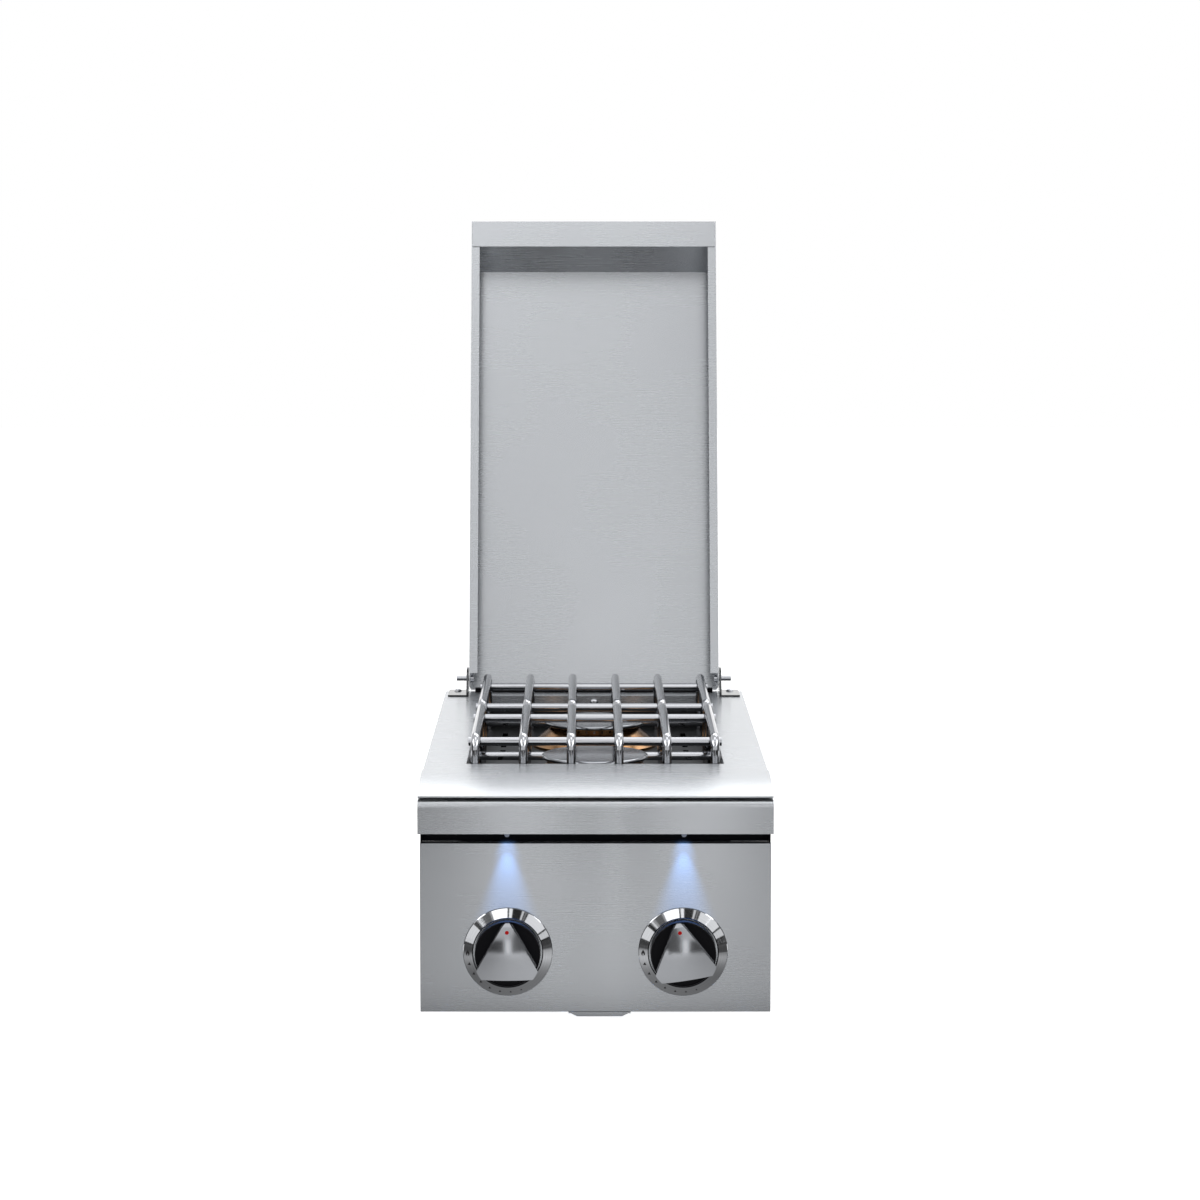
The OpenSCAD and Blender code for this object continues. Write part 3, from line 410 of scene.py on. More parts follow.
def finish_nodes(names, finish):
    """Gives the frame's own pieces their material."""
    for name in names:
        wear(frame["nodes"][name], finish)


def mesh_piece(name, mesh, body, finish):
    """A finished piece at the origin, riding on a body."""
    piece = bpy.data.objects.new(name, mesh)
    bpy.context.scene.collection.objects.link(piece)
    wear(piece, finish)
    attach(piece, body)
    return piece


def smooth_by_angle(mesh, degrees):
    """Smooth shading with sharp edges where faces meet at more than the angle."""
    work = bmesh.new()
    work.from_mesh(mesh)
    limit = math.radians(degrees)
    for face in work.faces:
        face.smooth = True
    for edge in work.edges:
        edge.smooth = len(edge.link_faces) == 2 and edge.calc_face_angle(0) < limit
    work.to_mesh(mesh)
    work.free()


def front_of(node, x, z):
    """Where a line from the front meets a frame piece, and the way its face looks there."""
    mesh = frame["nodes"][node].data
    faces = BVHTree.FromPolygons([v.co for v in mesh.vertices], [p.vertices for p in mesh.polygons])
    place, facing, _, _ = faces.ray_cast(Vector((x, -1, z)), Vector((0, 1, 0)))
    return place, facing


def softened(node, radius, finish):
    """Makes a copy of a frame piece whose edges are rounded, which stands for it."""
    flat, sharp = 0.003, math.radians(25)
    work = bmesh.new()
    work.from_mesh(frame["nodes"][node].data)
    bmesh.ops.remove_doubles(work, verts=work.verts, dist=2e-6)
    bmesh.ops.dissolve_limit(work, angle_limit=flat, verts=work.verts, edges=work.edges)
    edges = [e for e in work.edges if len(e.link_faces) == 2 and e.calc_face_angle(0) > sharp]
    bmesh.ops.bevel(
        work,
        geom=edges,
        offset=radius * MM,
        offset_type="OFFSET",
        segments=3,
        profile=0.5,
        affect="EDGES",
        clamp_overlap=True,
    )
    bmesh.ops.triangulate(work, faces=work.faces)
    mesh = bpy.data.meshes.new(f"{node}_finished")
    work.to_mesh(mesh)
    work.free()
    smooth_by_angle(mesh, 32)
    piece = mesh_piece(f"{node}_finished", mesh, body_of(node), finish)
    even = piece.modifiers.new("even_faces", "WEIGHTED_NORMAL")
    even.mode = "FACE_AREA"
    even.keep_sharp = True
    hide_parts(node)


def bezel_cone():
    """How far a bezel's cone would stand out at its axis, and its rise for each step outwards."""
    low, high = BEZEL["left"]
    radius = (high.x - low.x) / 2
    outer = radius - BEZEL_OUTER_BEVEL
    inner = radius - BEZEL_RING + BEZEL_INNER_BEVEL
    fall = (high.y - low.y - BEZEL_EDGE) / (outer - inner)
    return BEZEL_EDGE + outer * fall, -fall


def flat_outline(points, depth):
    """A thin plate with the given outline in X and Z, facing the front."""
    work = bmesh.new()
    front = [work.verts.new((x, -depth, z)) for x, z in points]
    back = [work.verts.new((x, 0, z)) for x, z in points]
    work.faces.new(front)
    work.faces.new(list(reversed(back)))
    for i in range(len(points)):
        j = (i + 1) % len(points)
        work.faces.new((front[j], front[i], back[i], back[j]))
    bmesh.ops.recalc_face_normals(work, faces=work.faces)
    return work


# Geometry Nodes


def new_tree(name, inputs):
    """A modifier tree with named inputs, each given as name, socket kind and value."""
    tree = bpy.data.node_groups.new(name, "GeometryNodeTree")
    tree.interface.new_socket("Geometry", in_out="INPUT", socket_type="NodeSocketGeometry")
    for label, kind, value in inputs:
        socket = tree.interface.new_socket(label, in_out="INPUT", socket_type=kind)
        socket.default_value = value
    tree.interface.new_socket("Geometry", in_out="OUTPUT", socket_type="NodeSocketGeometry")
    return tree, put(tree, "NodeGroupInput").outputs


def close_tree(tree, geometry, finish):
    """Ends a tree in real geometry with its material."""
    real = put(tree, "GeometryNodeRealizeInstances", {0: geometry}).outputs[0]
    done = put(tree, "GeometryNodeSetMaterial", {"Geometry": real, "Material": finish}).outputs[0]
    put(tree, "NodeGroupOutput", {0: done})


def grown(name, seed_mesh, tree, values):
    """Runs a tree on a seed mesh and returns the result as a plain mesh."""
    seed = bpy.data.objects.new(f"{name}_seed", seed_mesh)
    bpy.context.scene.collection.objects.link(seed)
    modifier = seed.modifiers.new("grow", "NODES")
    modifier.node_group = tree
    for item in tree.interface.items_tree:
        if item.in_out == "INPUT" and item.name in values:
            modifier[item.identifier] = values[item.name]
    ready = seed.evaluated_get(bpy.context.evaluated_depsgraph_get())
    mesh = bpy.data.meshes.new_from_object(ready)
    mesh.name = name
    bpy.data.objects.remove(seed)
    return mesh


def grate_tree(finish):
    """Grate: bent rods in a row on two cross bars, with a weld bead at each crossing."""
    number, whole = "NodeSocketFloat", "NodeSocketInt"
    tree, get = new_tree(
        "grate",
        [
            ("Rods", whole, 6),
            ("Pitch", number, 0.0483),
            ("Rod radius", number, 0.0045),
            ("Bend radius", number, 0.013),
            ("Bar half length", number, 0.1286),
            ("Bar front", number, 0.0),
            ("Bar rear", number, 0.0),
            ("Bar height", number, 0.0),
            ("Bead", number, 0.002),
        ],
    )
    round_wire = put(
        tree, "GeometryNodeCurvePrimitiveCircle", {"Resolution": 28, "Radius": get["Rod radius"]}
    ).outputs[0]
    path = put(tree, "GeometryNodeMeshToCurve", {0: get[0]}).outputs[0]
    bent = put(
        tree,
        "GeometryNodeFilletCurve",
        {"Curve": path, "Radius": get["Bend radius"], "Count": 14},
        mode="POLY",
    ).outputs[0]
    rod = put(
        tree, "GeometryNodeCurveToMesh", {"Curve": bent, "Profile Curve": round_wire, "Fill Caps": True}
    ).outputs[0]
    first = maths(tree, "MULTIPLY", maths(tree, "SUBTRACT", get["Rods"], 1.0), -0.5)
    start = put(tree, "ShaderNodeCombineXYZ", {0: maths(tree, "MULTIPLY", first, get["Pitch"])}).outputs[0]
    step = put(tree, "ShaderNodeCombineXYZ", {0: get["Pitch"]}).outputs[0]
    row = put(
        tree,
        "GeometryNodeMeshLine",
        {"Count": get["Rods"], "Start Location": start, "Offset": step},
        mode="OFFSET",
    ).outputs[0]
    rods = put(tree, "GeometryNodeInstanceOnPoints", {"Points": row, "Instance": rod}).outputs[0]
    parts = [rods]
    bead = put(
        tree, "GeometryNodeMeshUVSphere", {"Segments": 16, "Rings": 10, "Radius": get["Bead"]}
    ).outputs[0]
    bead_height = maths(tree, "ADD", get["Bar height"], get["Rod radius"])
    for where in ("Bar front", "Bar rear"):
        ends = {}
        for end, side in enumerate((-1.0, 1.0)):
            across = maths(tree, "MULTIPLY", get["Bar half length"], side)
            spot = {0: across, 1: get[where], 2: get["Bar height"]}
            ends[end] = put(tree, "ShaderNodeCombineXYZ", spot).outputs[0]
        line = put(tree, "GeometryNodeCurvePrimitiveLine", ends).outputs[0]
        bar = {"Curve": line, "Profile Curve": round_wire, "Fill Caps": True}
        parts.append(put(tree, "GeometryNodeCurveToMesh", bar).outputs[0])
        for side in (-1.0, 1.0):
            reach = maths(tree, "MULTIPLY", get["Bead"], 0.8 * side)
            spot = {0: 0.0, 1: maths(tree, "ADD", get[where], reach), 2: bead_height}
            lift = put(tree, "ShaderNodeCombineXYZ", spot).outputs[0]
            moved = put(tree, "GeometryNodeSetPosition", {"Geometry": row, "Offset": lift}).outputs[0]
            welds = {"Points": moved, "Instance": bead, "Scale": (1.15, 1.3, 0.55)}
            parts.append(put(tree, "GeometryNodeInstanceOnPoints", welds).outputs[0])
    joined = put(tree, "GeometryNodeJoinGeometry")
    for part in reversed(parts):
        tree.links.new(part, joined.inputs[0])
    smooth = put(tree, "GeometryNodeSetShadeSmooth", {0: joined.outputs[0]}).outputs[0]
    close_tree(tree, smooth, finish)
    return tree


def dial_tree(finish):
    """Dial marks: triangles in a row along an arc, pointing up, laid on the bezel's cone."""
    number, whole = "NodeSocketFloat", "NodeSocketInt"
    tree, get = new_tree(
        "dial_marks",
        [
            ("Marks", whole, 7),
            ("Radius", number, 0.0392),
            ("First angle", number, math.radians(106.6)),
            ("Angle step", number, math.radians(15.5)),
            ("First size", number, 1.0),
            ("Last size", number, 0.5),
            ("Rise at axis", number, 0.02),
            ("Slope", number, 0.5),
        ],
    )
    index = put(tree, "GeometryNodeInputIndex").outputs[0]
    angle = maths(tree, "MULTIPLY_ADD", index, get["Angle step"], get["First angle"])
    left = maths(tree, "MULTIPLY", get["Radius"], -1.0)
    across = maths(tree, "MULTIPLY", maths(tree, "SINE", angle), left)
    up = maths(tree, "MULTIPLY", maths(tree, "COSINE", angle), get["Radius"])
    away = put(tree, "ShaderNodeCombineXYZ", {0: across, 2: up}).outputs[0]
    points = {"Count": get["Marks"], "Offset": (0, 0, 0)}
    row = put(tree, "GeometryNodeMeshLine", points, mode="OFFSET").outputs[0]
    arc = put(tree, "GeometryNodeSetPosition", {"Geometry": row, "Position": away}).outputs[0]
    last = maths(tree, "SUBTRACT", get["Marks"], 1.0)
    size = put(
        tree,
        "ShaderNodeMapRange",
        {
            "Value": index,
            "From Min": 0.0,
            "From Max": last,
            "To Min": get["First size"],
            "To Max": get["Last size"],
        },
    ).outputs[0]
    each = put(tree, "ShaderNodeCombineXYZ", {0: size, 1: 1.0, 2: size}).outputs[0]
    marks = put(
        tree, "GeometryNodeInstanceOnPoints", {"Points": arc, "Instance": get[0], "Scale": each}
    ).outputs[0]
    real = put(tree, "GeometryNodeRealizeInstances", {0: marks}).outputs[0]
    where = put(tree, "GeometryNodeInputPosition").outputs[0]
    flat = vector_maths(tree, "MULTIPLY", where, (1, 0, 1))
    rise = maths(tree, "MULTIPLY_ADD", length(tree, flat), get["Slope"], get["Rise at axis"])
    lift = put(tree, "ShaderNodeCombineXYZ", {1: maths(tree, "MULTIPLY", rise, -1.0)}).outputs[0]
    laid = put(tree, "GeometryNodeSetPosition", {"Geometry": real, "Offset": lift}).outputs[0]
    close_tree(tree, laid, finish)
    return tree


def rivet_tree(finish):
    """Rivets: low domed heads in a row along an edge, all facing one way."""
    tree, get = new_tree(
        "rivets",
        [
            ("Rivets", "NodeSocketInt", 7),
            ("Head radius", "NodeSocketFloat", 0.003),
            ("Head height", "NodeSocketFloat", 0.4),
            ("Facing", "NodeSocketVector", (0.0, 1.0, 0.0)),
        ],
    )
    path = put(tree, "GeometryNodeMeshToCurve", {0: get[0]}).outputs[0]
    spots = put(tree, "GeometryNodeCurveToPoints", {"Curve": path, "Count": get["Rivets"]}).outputs[0]
    ball = put(
        tree, "GeometryNodeMeshUVSphere", {"Segments": 20, "Rings": 10, "Radius": get["Head radius"]}
    ).outputs[0]
    low = put(tree, "ShaderNodeCombineXYZ", {0: 1.0, 1: 1.0, 2: get["Head height"]}).outputs[0]
    head = put(tree, "GeometryNodeTransform", {"Geometry": ball, "Scale": low}).outputs[0]
    turn = put(tree, "FunctionNodeAlignRotationToVector", {"Vector": get["Facing"]}, axis="Z").outputs[0]
    heads = put(
        tree, "GeometryNodeInstanceOnPoints", {"Points": spots, "Instance": head, "Rotation": turn}
    ).outputs[0]
    close_tree(tree, heads, finish)
    return tree


# Operators


class SideburnerOperator(bpy.types.Operator):
    """What all the steps share: the scene's settings."""

    bl_options = {"REGISTER", "UNDO"}

    @property
    def finish(self):
        return bpy.context.scene.sideburner_finish

    @property
    def detail(self):
        return bpy.context.scene.sideburner_detail

    @property
    def studio(self):
        return bpy.context.scene.sideburner_studio


class SIDEBURNER_OT_sheets(SideburnerOperator):
    """Brushed sheet pieces: deck, front, lid, hinges and firebox"""

    bl_idname = "sideburner.sheets"
    bl_label = "Sheet pieces"

    def execute(self, context):
        steel = brushed("brushed_stainless", self.finish.steel, self.finish.steel_rough)
        body = ("deck", "front_apron", "brow_rail", "control_panel", "lid_shell", "lid_front", "drip_tray")
        for node in body:
            softened(node, self.detail.edge, steel)
        # The hinge brackets are the stainless at 0.12 of its brightness: painted shade and painted dark
        # reflection from under the lid
        smooth = brushed("bracket_painted_shade", tint(self.finish.steel, 0.12), 0.13, 0.3, 1.0)
        for node in ("left_hinge_bracket", "right_hinge_bracket"):
            softened(node, self.detail.edge, smooth)
        finish_nodes(["control_box", "manifold_brackets", "left_tray_runner", "right_tray_runner"], steel)
        # The firebox walls, its pan and heat shield are painted near black as the shade inside the firebox
        firebox_shade = brushed("heat_dulled_steel", self.finish.firebox_shade, 0.4, 0.5)
        firebox = [f"firebox_{wall}" for wall in ("left", "right", "front", "rear")]
        finish_nodes([*firebox, "burner_pan", "heat_shield"], firebox_shade)
        return {"FINISHED"}


class SIDEBURNER_OT_rivets(SideburnerOperator):
    """Rows of rivets along the firebox's corners"""

    bl_idname = "sideburner.rivets"
    bl_label = "Rivets"

    def execute(self, context):
        head = plain_metal("rivet_steel", tint(self.finish.rod, 0.7), 0.3)
        tree = rivet_tree(head)
        low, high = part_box("firebox_left")
        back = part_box("firebox_rear")[1]
        side_y = (low.y + RIVET_INSET, high.y - RIVET_INSET)
        levels = (low.z + RIVET_UP, high.z - RIVET_DOWN)
        rows = [((x, back.y), (0, 1, 0)) for x in (-back.x + RIVET_INSET, back.x - RIVET_INSET)]
        rows += [((side * -low.x, y), (side, 0, 0)) for side in SIDES.values() for y in side_y]
        values = {"Rivets": self.detail.rivet_count, "Head radius": self.detail.rivet * MM}
        joined = bmesh.new()
        for (x, y), facing in rows:
            seed = bpy.data.meshes.new("rivet_row")
            seed.from_pydata([(x, y, level) for level in levels], [(0, 1)], [])
            joined.from_mesh(grown("rivet_row", seed, tree, {**values, "Facing": facing}))
        mesh = bpy.data.meshes.new("firebox_rivets")
        joined.to_mesh(mesh)
        joined.free()
        smooth_by_angle(mesh, 40)
        mesh_piece("firebox_rivets", mesh, "housing", head)
        return {"FINISHED"}


class SIDEBURNER_OT_grates(SideburnerOperator):
    """Grates of bent rod, and the other rods, bolts and screws"""

    bl_idname = "sideburner.grates"
    bl_label = "Grates and rods"

    def execute(self, context):
        rod = plain_metal("polished_rod", self.finish.rod, 0.07, 400, 0.000001, 0.85)
        tree = grate_tree(rod)
        for name in ("front_grate", "rear_grate"):
            low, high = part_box(name)
            front, rear = low.y + ROD_R, high.y - ROD_R
            level = high.z - ROD_R
            seed = bpy.data.meshes.new(f"{name}_path")
            seed.from_pydata(
                [(0, front, low.z), (0, front, level), (0, rear, level), (0, rear, low.z)],
                [(0, 1), (1, 2), (2, 3)],
                [],
            )
            mesh = grown(
                f"{name}_rods",
                seed,
                tree,
                {
                    "Bar half length": high.x,
                    "Rod radius": ROD_R,
                    "Bar front": front + BAR_FROM_FRONT,
                    "Bar rear": rear - BAR_FROM_REAR,
                    "Bar height": level - BAR_BELOW,
                    "Bead": self.detail.weld * MM,
                },
            )
            smooth_by_angle(mesh, 40)
            piece = mesh_piece(f"{name}_rods", mesh, name, rod)
            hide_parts(name)
        pairs = [f"{side}_{part}" for side in SIDES for part in ("pivot_bolt", "knob_stem")]
        finish_nodes([*pairs, "front_tie_rod", "rear_tie_rod", "hinge_screws", "wall_screws"], rod)
        return {"FINISHED"}


class SIDEBURNER_OT_burners(SideburnerOperator):
    """Burner caps, bodies, tubes and igniters"""

    bl_idname = "sideburner.burners"
    bl_label = "Burners"

    def execute(self, context):
        brass = plain_metal("burner_brass", self.finish.brass, 0.24, 500, 0.00005)
        tube = plain_metal("tube_steel", tint(self.finish.steel, 0.8), 0.4)
        ceramic = coated("electrode_ceramic", self.finish.ceramic, 0.2)
        for end in ("front", "rear"):
            low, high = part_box(f"{end}_burner_cap")
            cap = turned_metal(f"polished_cap_{end}", self.finish.cap, 0.11, (low + high) / 2, 2, 0.6)
            finish_nodes([f"{end}_burner_cap"], cap)
            finish_nodes([f"{end}_burner_base"], brass)
            finish_nodes([f"{end}_mixer_tube"], tube)
            finish_nodes([f"{end}_igniter"], ceramic)
        return {"FINISHED"}


class SIDEBURNER_OT_knobs(SideburnerOperator):
    """Knobs, bezels, dial marks and pointer dots"""

    bl_idname = "sideburner.knobs"
    bl_label = "Knobs and bezels"

    def execute(self, context):
        skirt = coated("black_plastic", self.finish.plastic, 0.3, shine=0.05)
        ink = coated("dial_print", self.finish.print_ink, 0.5)
        red = coated("pointer_dot", self.finish.dot, 0.3, shine=0.15)
        tree = dial_tree(ink)
        for side in SIDES:
            ring = turned_metal(f"bezel_chrome_{side}", self.finish.bezel, 0.07, KNOB[side], 1, 0.5, 900)
            finish_nodes([f"{side}_bezel"], ring)
            # The handle's rim round its skirt is painted near black as shade
            satin, rim = f"satin_handle_{side}", painted_rim_shade(side)
            handle = plain_metal(satin, self.finish.handle, 0.13, 1500, 0.000005, painted_shade=rim)
            softened(f"{side}_knob_handle", self.detail.handle_edge, handle)
            finish_nodes([f"{side}_knob_skirt"], skirt)
            self.marks(side, tree, ink)
            self.dot(side, red)
        return {"FINISHED"}

    def marks(self, side, tree, ink):
        """The triangles of a dial and the flame that they lead to, printed on the bezel's cone."""
        at_axis, slope = bezel_cone()
        at_axis += PRINT_OFF
        width = self.detail.mark_first * MM
        half, up = width / 2, width * 0.43
        seed = bpy.data.meshes.new("triangle")
        work = flat_outline([(-half, -up), (half, -up), (0, up)], PRINT)
        work.to_mesh(seed)
        work.free()
        mesh = grown(
            f"{side}_dial_marks",
            seed,
            tree,
            {
                "Marks": self.detail.mark_count,
                "Radius": self.detail.dial_r * MM,
                "Last size": self.detail.mark_last / self.detail.mark_first,
                "Rise at axis": at_axis,
                "Slope": slope,
            },
        )
        joined = bmesh.new()
        joined.from_mesh(mesh)
        joined.from_mesh(self.flame(at_axis, slope))
        bmesh.ops.recalc_face_normals(joined, faces=joined.faces)
        bmesh.ops.translate(joined, verts=joined.verts, vec=(KNOB[side].x, PANEL_FACE, KNOB[side].z))
        joined.to_mesh(mesh)
        joined.free()
        mesh_piece(f"{side}_dial_marks", mesh, "housing", ink)

    def flame(self, at_axis, slope):
        """A flame outline beside the knob, with an open drop in its foot."""
        turn = math.radians(90.9)
        radius = self.detail.dial_r * MM
        middle = Vector((-math.sin(turn) * radius, math.cos(turn) * radius))
        outside = [(0, 3.2), (0.65, 2.0), (1.45, 0.8), (1.8, -0.5), (1.55, -1.7), (0.95, -2.5), (0.5, -2.75)]
        drop = [(0, -0.1), (0.5, -0.8), (0.7, -1.6), (0.5, -2.3)]
        ring = outside + list(reversed(drop))
        work = bmesh.new()
        for mirror in (1, -1):
            layers = []
            for depth in (PRINT, 0.0):
                layer = []
                for x, z in ring:
                    px, pz = middle.x + mirror * x * MM, middle.y + z * MM
                    rise = at_axis + math.hypot(px, pz) * slope
                    layer.append(work.verts.new((px, -rise - depth, pz)))
                layers.append(layer)
            front, back = layers
            work.faces.new(front)
            work.faces.new(list(reversed(back)))
            for i in range(len(ring)):
                j = (i + 1) % len(ring)
                work.faces.new((front[i], front[j], back[j], back[i]))
        bmesh.ops.remove_doubles(work, verts=work.verts, dist=1e-6)
        bmesh.ops.triangulate(work, faces=work.faces)
        mesh = bpy.data.meshes.new("flame")
        work.to_mesh(mesh)
        work.free()
        return mesh

    def dot(self, side, red):
        """A slightly domed dot on the handle's face, turned as the knob stands."""
        turn = KNOB_TURNED[side]
        up = self.detail.dot_up * MM
        x, z = KNOB[side].x - math.sin(turn) * up, KNOB[side].z + math.cos(turn) * up
        middle, facing = front_of(f"{side}_knob_handle", x, z)
        lean = Vector((0, -1, 0)).rotation_difference(facing)
        radius, dome = self.detail.dot_r * MM, 0.12
        work = bmesh.new()
        bmesh.ops.create_uvsphere(work, u_segments=28, v_segments=12, radius=radius)
        for v in work.verts:
            v.co.y *= dome
            v.co.rotate(lean)
            v.co += middle
        mesh = bpy.data.meshes.new(f"{side}_pointer_dot")
        work.to_mesh(mesh)
        work.free()
        smooth_by_angle(mesh, 60)
        mesh_piece(f"{side}_pointer_dot", mesh, f"{side}_knob", red)


class SIDEBURNER_OT_gas(SideburnerOperator):
    """Valves, manifold, inlet, modules and the lamp rail"""

    bl_idname = "sideburner.gas"
    bl_label = "Gas parts and modules"

    def execute(self, context):
        fitting = plain_metal("valve_brass", self.finish.fitting, 0.3, 700, 0.00003)
        valves = [f"{side}_valve{part}" for side in SIDES for part in ("", "_plug")]
        finish_nodes([*valves, "gas_inlet"], fitting)
        finish_nodes(["manifold"], coated("manifold_pipe", self.finish.pipe, 0.45))
        moulded = coated("module_plastic", self.finish.plastic, 0.5)
        finish_nodes(["ignition_module", "lamp_driver"], moulded)
        # The lamp rail, which also carries the lamps, and the rear baffle are black plates that fill gaps
        # where there is only shade
        shade_fill = coated("black_bracket", self.finish.plastic, 0.6, 600, shine=0.04)
        finish_nodes(["lamp_rail", "rear_baffle"], shade_fill)
        return {"FINISHED"}


class SIDEBURNER_OT_lamps(SideburnerOperator):
    """Panel lamps and the light that they throw down the panel"""

    bl_idname = "sideburner.lamps"
    bl_label = "Panel lamps"

    def execute(self, context):
        lens = lit_lens("lamp_lens", self.finish.lamp, 0.05)
        finish_nodes(["left_lamp", "right_lamp"], lens)
        for side in SIDES:
            low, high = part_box(f"{side}_lamp")
            middle = (low + high) / 2
            # Each cone's name, how far down the panel it aims in mm, its width in degrees, its strength
            for part, down, cone, power in (("near", 13, 70, 2.9), ("beam", 46, 48, 5.5)):
                data = bpy.data.lights.new(f"{side}_lamp_{part}", "SPOT")
                data.color = self.finish.lamp
                data.energy = power * self.studio.lamp_watts
                data.spot_size = math.radians(cone)
                data.spot_blend = 1.0
                data.shadow_soft_size = 1.5 * MM
                even_beam(data)
                light = bpy.data.objects.new(data.name, data)
                light.location = (middle.x, middle.y, low.z - 0.5 * MM)
                aim = Vector((middle.x, PANEL_FACE, low.z - down * MM)) - light.location
                light.rotation_euler = aim.to_track_quat("-Z", "Y").to_euler()
                light.visible_glossy = False
                context.scene.collection.objects.link(light)
        return {"FINISHED"}


def even_beam(data):
    """A lamp whose beam stays as strong further down, as a lens makes it."""
    data.use_nodes = True
    tree = data.node_tree
    tree.nodes.clear()
    falloff = put(tree, "ShaderNodeLightFalloff", {"Strength": 1.0}).outputs["Constant"]
    glow = put(tree, "ShaderNodeEmission", {"Strength": falloff})
    put(tree, "ShaderNodeOutputLight", {"Surface": glow.outputs[0]})


class SIDEBURNER_OT_stage(SideburnerOperator):
    """Floor, backdrop, softboxes and the camera"""

    bl_idname = "sideburner.stage"
    bl_label = "Studio"

    def execute(self, context):
        studio = self.studio
        self.floor()
        self.sky(context.scene)
        self.softbox("overhead_softbox", (0.45, 1.65, 2.5), (0, 0, 0.3), (3.0, 1.8), studio.overhead)
        self.softbox("top_softbox", (0, -1.4, 2.4), (0, -0.2, 0.3), (1.6, 0.5), studio.top)
        self.cards()
        data = bpy.data.cameras.new("camera")
        data.sensor_fit = "HORIZONTAL"
        data.sensor_width = 36
        data.lens = studio.lens
        data.shift_x = studio.shift_x
        data.shift_y = studio.shift_y
        data.clip_start, data.clip_end = 0.05, 60
        camera = bpy.data.objects.new("camera", data)
        camera.location = (studio.camera_x, studio.camera_y, studio.camera_z)
        camera.rotation_euler = (math.pi / 2 - studio.pitch, 0, 0)
        context.scene.collection.objects.link(camera)
        context.scene.camera = camera
        context.scene.view_settings.view_transform = "Standard"
        return {"FINISHED"}

    def seen(self, tree):
        """1 for what the camera, a mirror or glass sees, and 0 for the rest."""
        path = put(tree, "ShaderNodeLightPath").outputs
        rays = (path["Is Camera Ray"], path["Is Glossy Ray"], path["Is Transmission Ray"])
        return maths(tree, "MAXIMUM", maths(tree, "MAXIMUM", rays[0], rays[1]), rays[2])

    def floor(self):
        """A pale sheet of paper just below the object."""
        half, drop = 9, 0.5 * MM
        made, tree = material("floor_paper")
        paper = noise(tree, on_object(tree), 40, 3)
        pale = shades(tree, between(tree, paper, 0, 1), (0.80, 0.80, 0.80), (0.82, 0.82, 0.82))
        matt = put(tree, "ShaderNodeBsdfDiffuse", {"Color": pale}).outputs[0]
        glow = put(tree, "ShaderNodeEmission", {"Strength": maths(tree, "MULTIPLY", self.seen(tree), 0.8)})
        both = put(tree, "ShaderNodeAddShader", {0: matt, 1: glow.outputs[0]}).outputs[0]
        put(tree, "ShaderNodeOutputMaterial", {"Surface": both})
        work = bmesh.new()
        bmesh.ops.create_grid(work, x_segments=1, y_segments=1, size=half)
        bmesh.ops.translate(work, verts=work.verts, vec=(0, 0, -drop))
        mesh = bpy.data.meshes.new("floor")
        work.to_mesh(mesh)
        work.free()
        mesh.materials.append(made)
        floor = bpy.data.objects.new("floor", mesh)
        bpy.context.scene.collection.objects.link(floor)

    def sky(self, scene):
        """A white world that lights the object less than it shows."""
        world = bpy.data.worlds.new("studio")
        world.use_nodes = True
        tree = world.node_tree
        tree.nodes.clear()
        strength = put(
            tree, "ShaderNodeMapRange", {"Value": self.seen(tree), "To Min": 0.45, "To Max": 1.0}
        ).outputs[0]
        light = put(tree, "ShaderNodeBackground", {"Color": (1, 1, 1, 1), "Strength": strength})
        put(tree, "ShaderNodeOutputWorld", {"Surface": light.outputs[0]})
        scene.world = world

    def cards(self):
        """Dark and bright cards that only shiny surfaces see, as a photographer sets them."""
        front = PANEL_FACE - 4 * MM
        near, far, edge = front - 0.76, front - 3.0, 4.0
        low, wall = 0.001, 0.30
        across = (0.1, 0.62, 1.02, 0.70, 0.1)
        shade = self.graded(across, (front - 0.03, front - 0.14), (front - 0.35, near), 0.28, 1.45)
        outline = [(-edge, front), (edge, front), (edge, near), (-edge, near)]
        self.level("near_card", shade, outline, low)
        outline = [(-edge, near), (edge, near), (edge, far), (-edge, far)]
        self.level("floor_card", 0.08, outline, low)
        self.wall("wall_card", 0.08, (-edge, far), (edge, far), 0, wall)
        narrow, wide = 0.034, 0.14
        for side, start, end in ((-1, -0.090, -0.103), (1, 0.121, 0.234)):
            strip = [(start - narrow, near), (start + narrow, near), (end + wide, far), (end - wide, far)]
            self.level(f"strip_card_{side + 1}", 1.9, strip, low * 2)
            foot = [(x, far + 0.01) for x in (end - wide, end + wide)]
            self.wall(f"strip_wall_{side + 1}", 1.9, *foot, 0, wall)
            self.wall(f"side_card_{side + 1}", 0.10, (side * 2.2, -1.6), (side * 2.2, 0.9), 0, 1.3)
            self.wall(f"high_card_{side + 1}", 4.5, (side * 1.2, -1.7), (side * 1.2, -0.2), 0.95, 1.9)
        self.wall("divider_card", 0.2, (0.02, front - 0.3), (0.02, far), 0.04, wall)
        self.wall("rear_card", 1.38, (-3.0, 2.6), (3.0, 2.6), 0, 1.5)
        self.wall("fill_card", 1.9, (-0.12, far), (0.6, far), 1.45, 2.15)
        outline = [(-0.25, -0.6), (0.4, -0.6), (0.4, -0.15), (-0.25, -0.15)]
        self.level("light_card", 2.8, outline, 1.5)
        self.arch()

    def glowing(self, name, strength):
        """A card's light, given as a number or as what builds its nodes."""
        made, tree = material(name)
        if callable(strength):
            strength = strength(tree)
        glow = put(tree, "ShaderNodeEmission", {"Strength": strength})
        put(tree, "ShaderNodeOutputMaterial", {"Surface": glow.outputs[0]})
        return made

    def graded(self, across, close, away, start, end):
        """Brightness across X in even steps, lower close to the object and higher far away."""

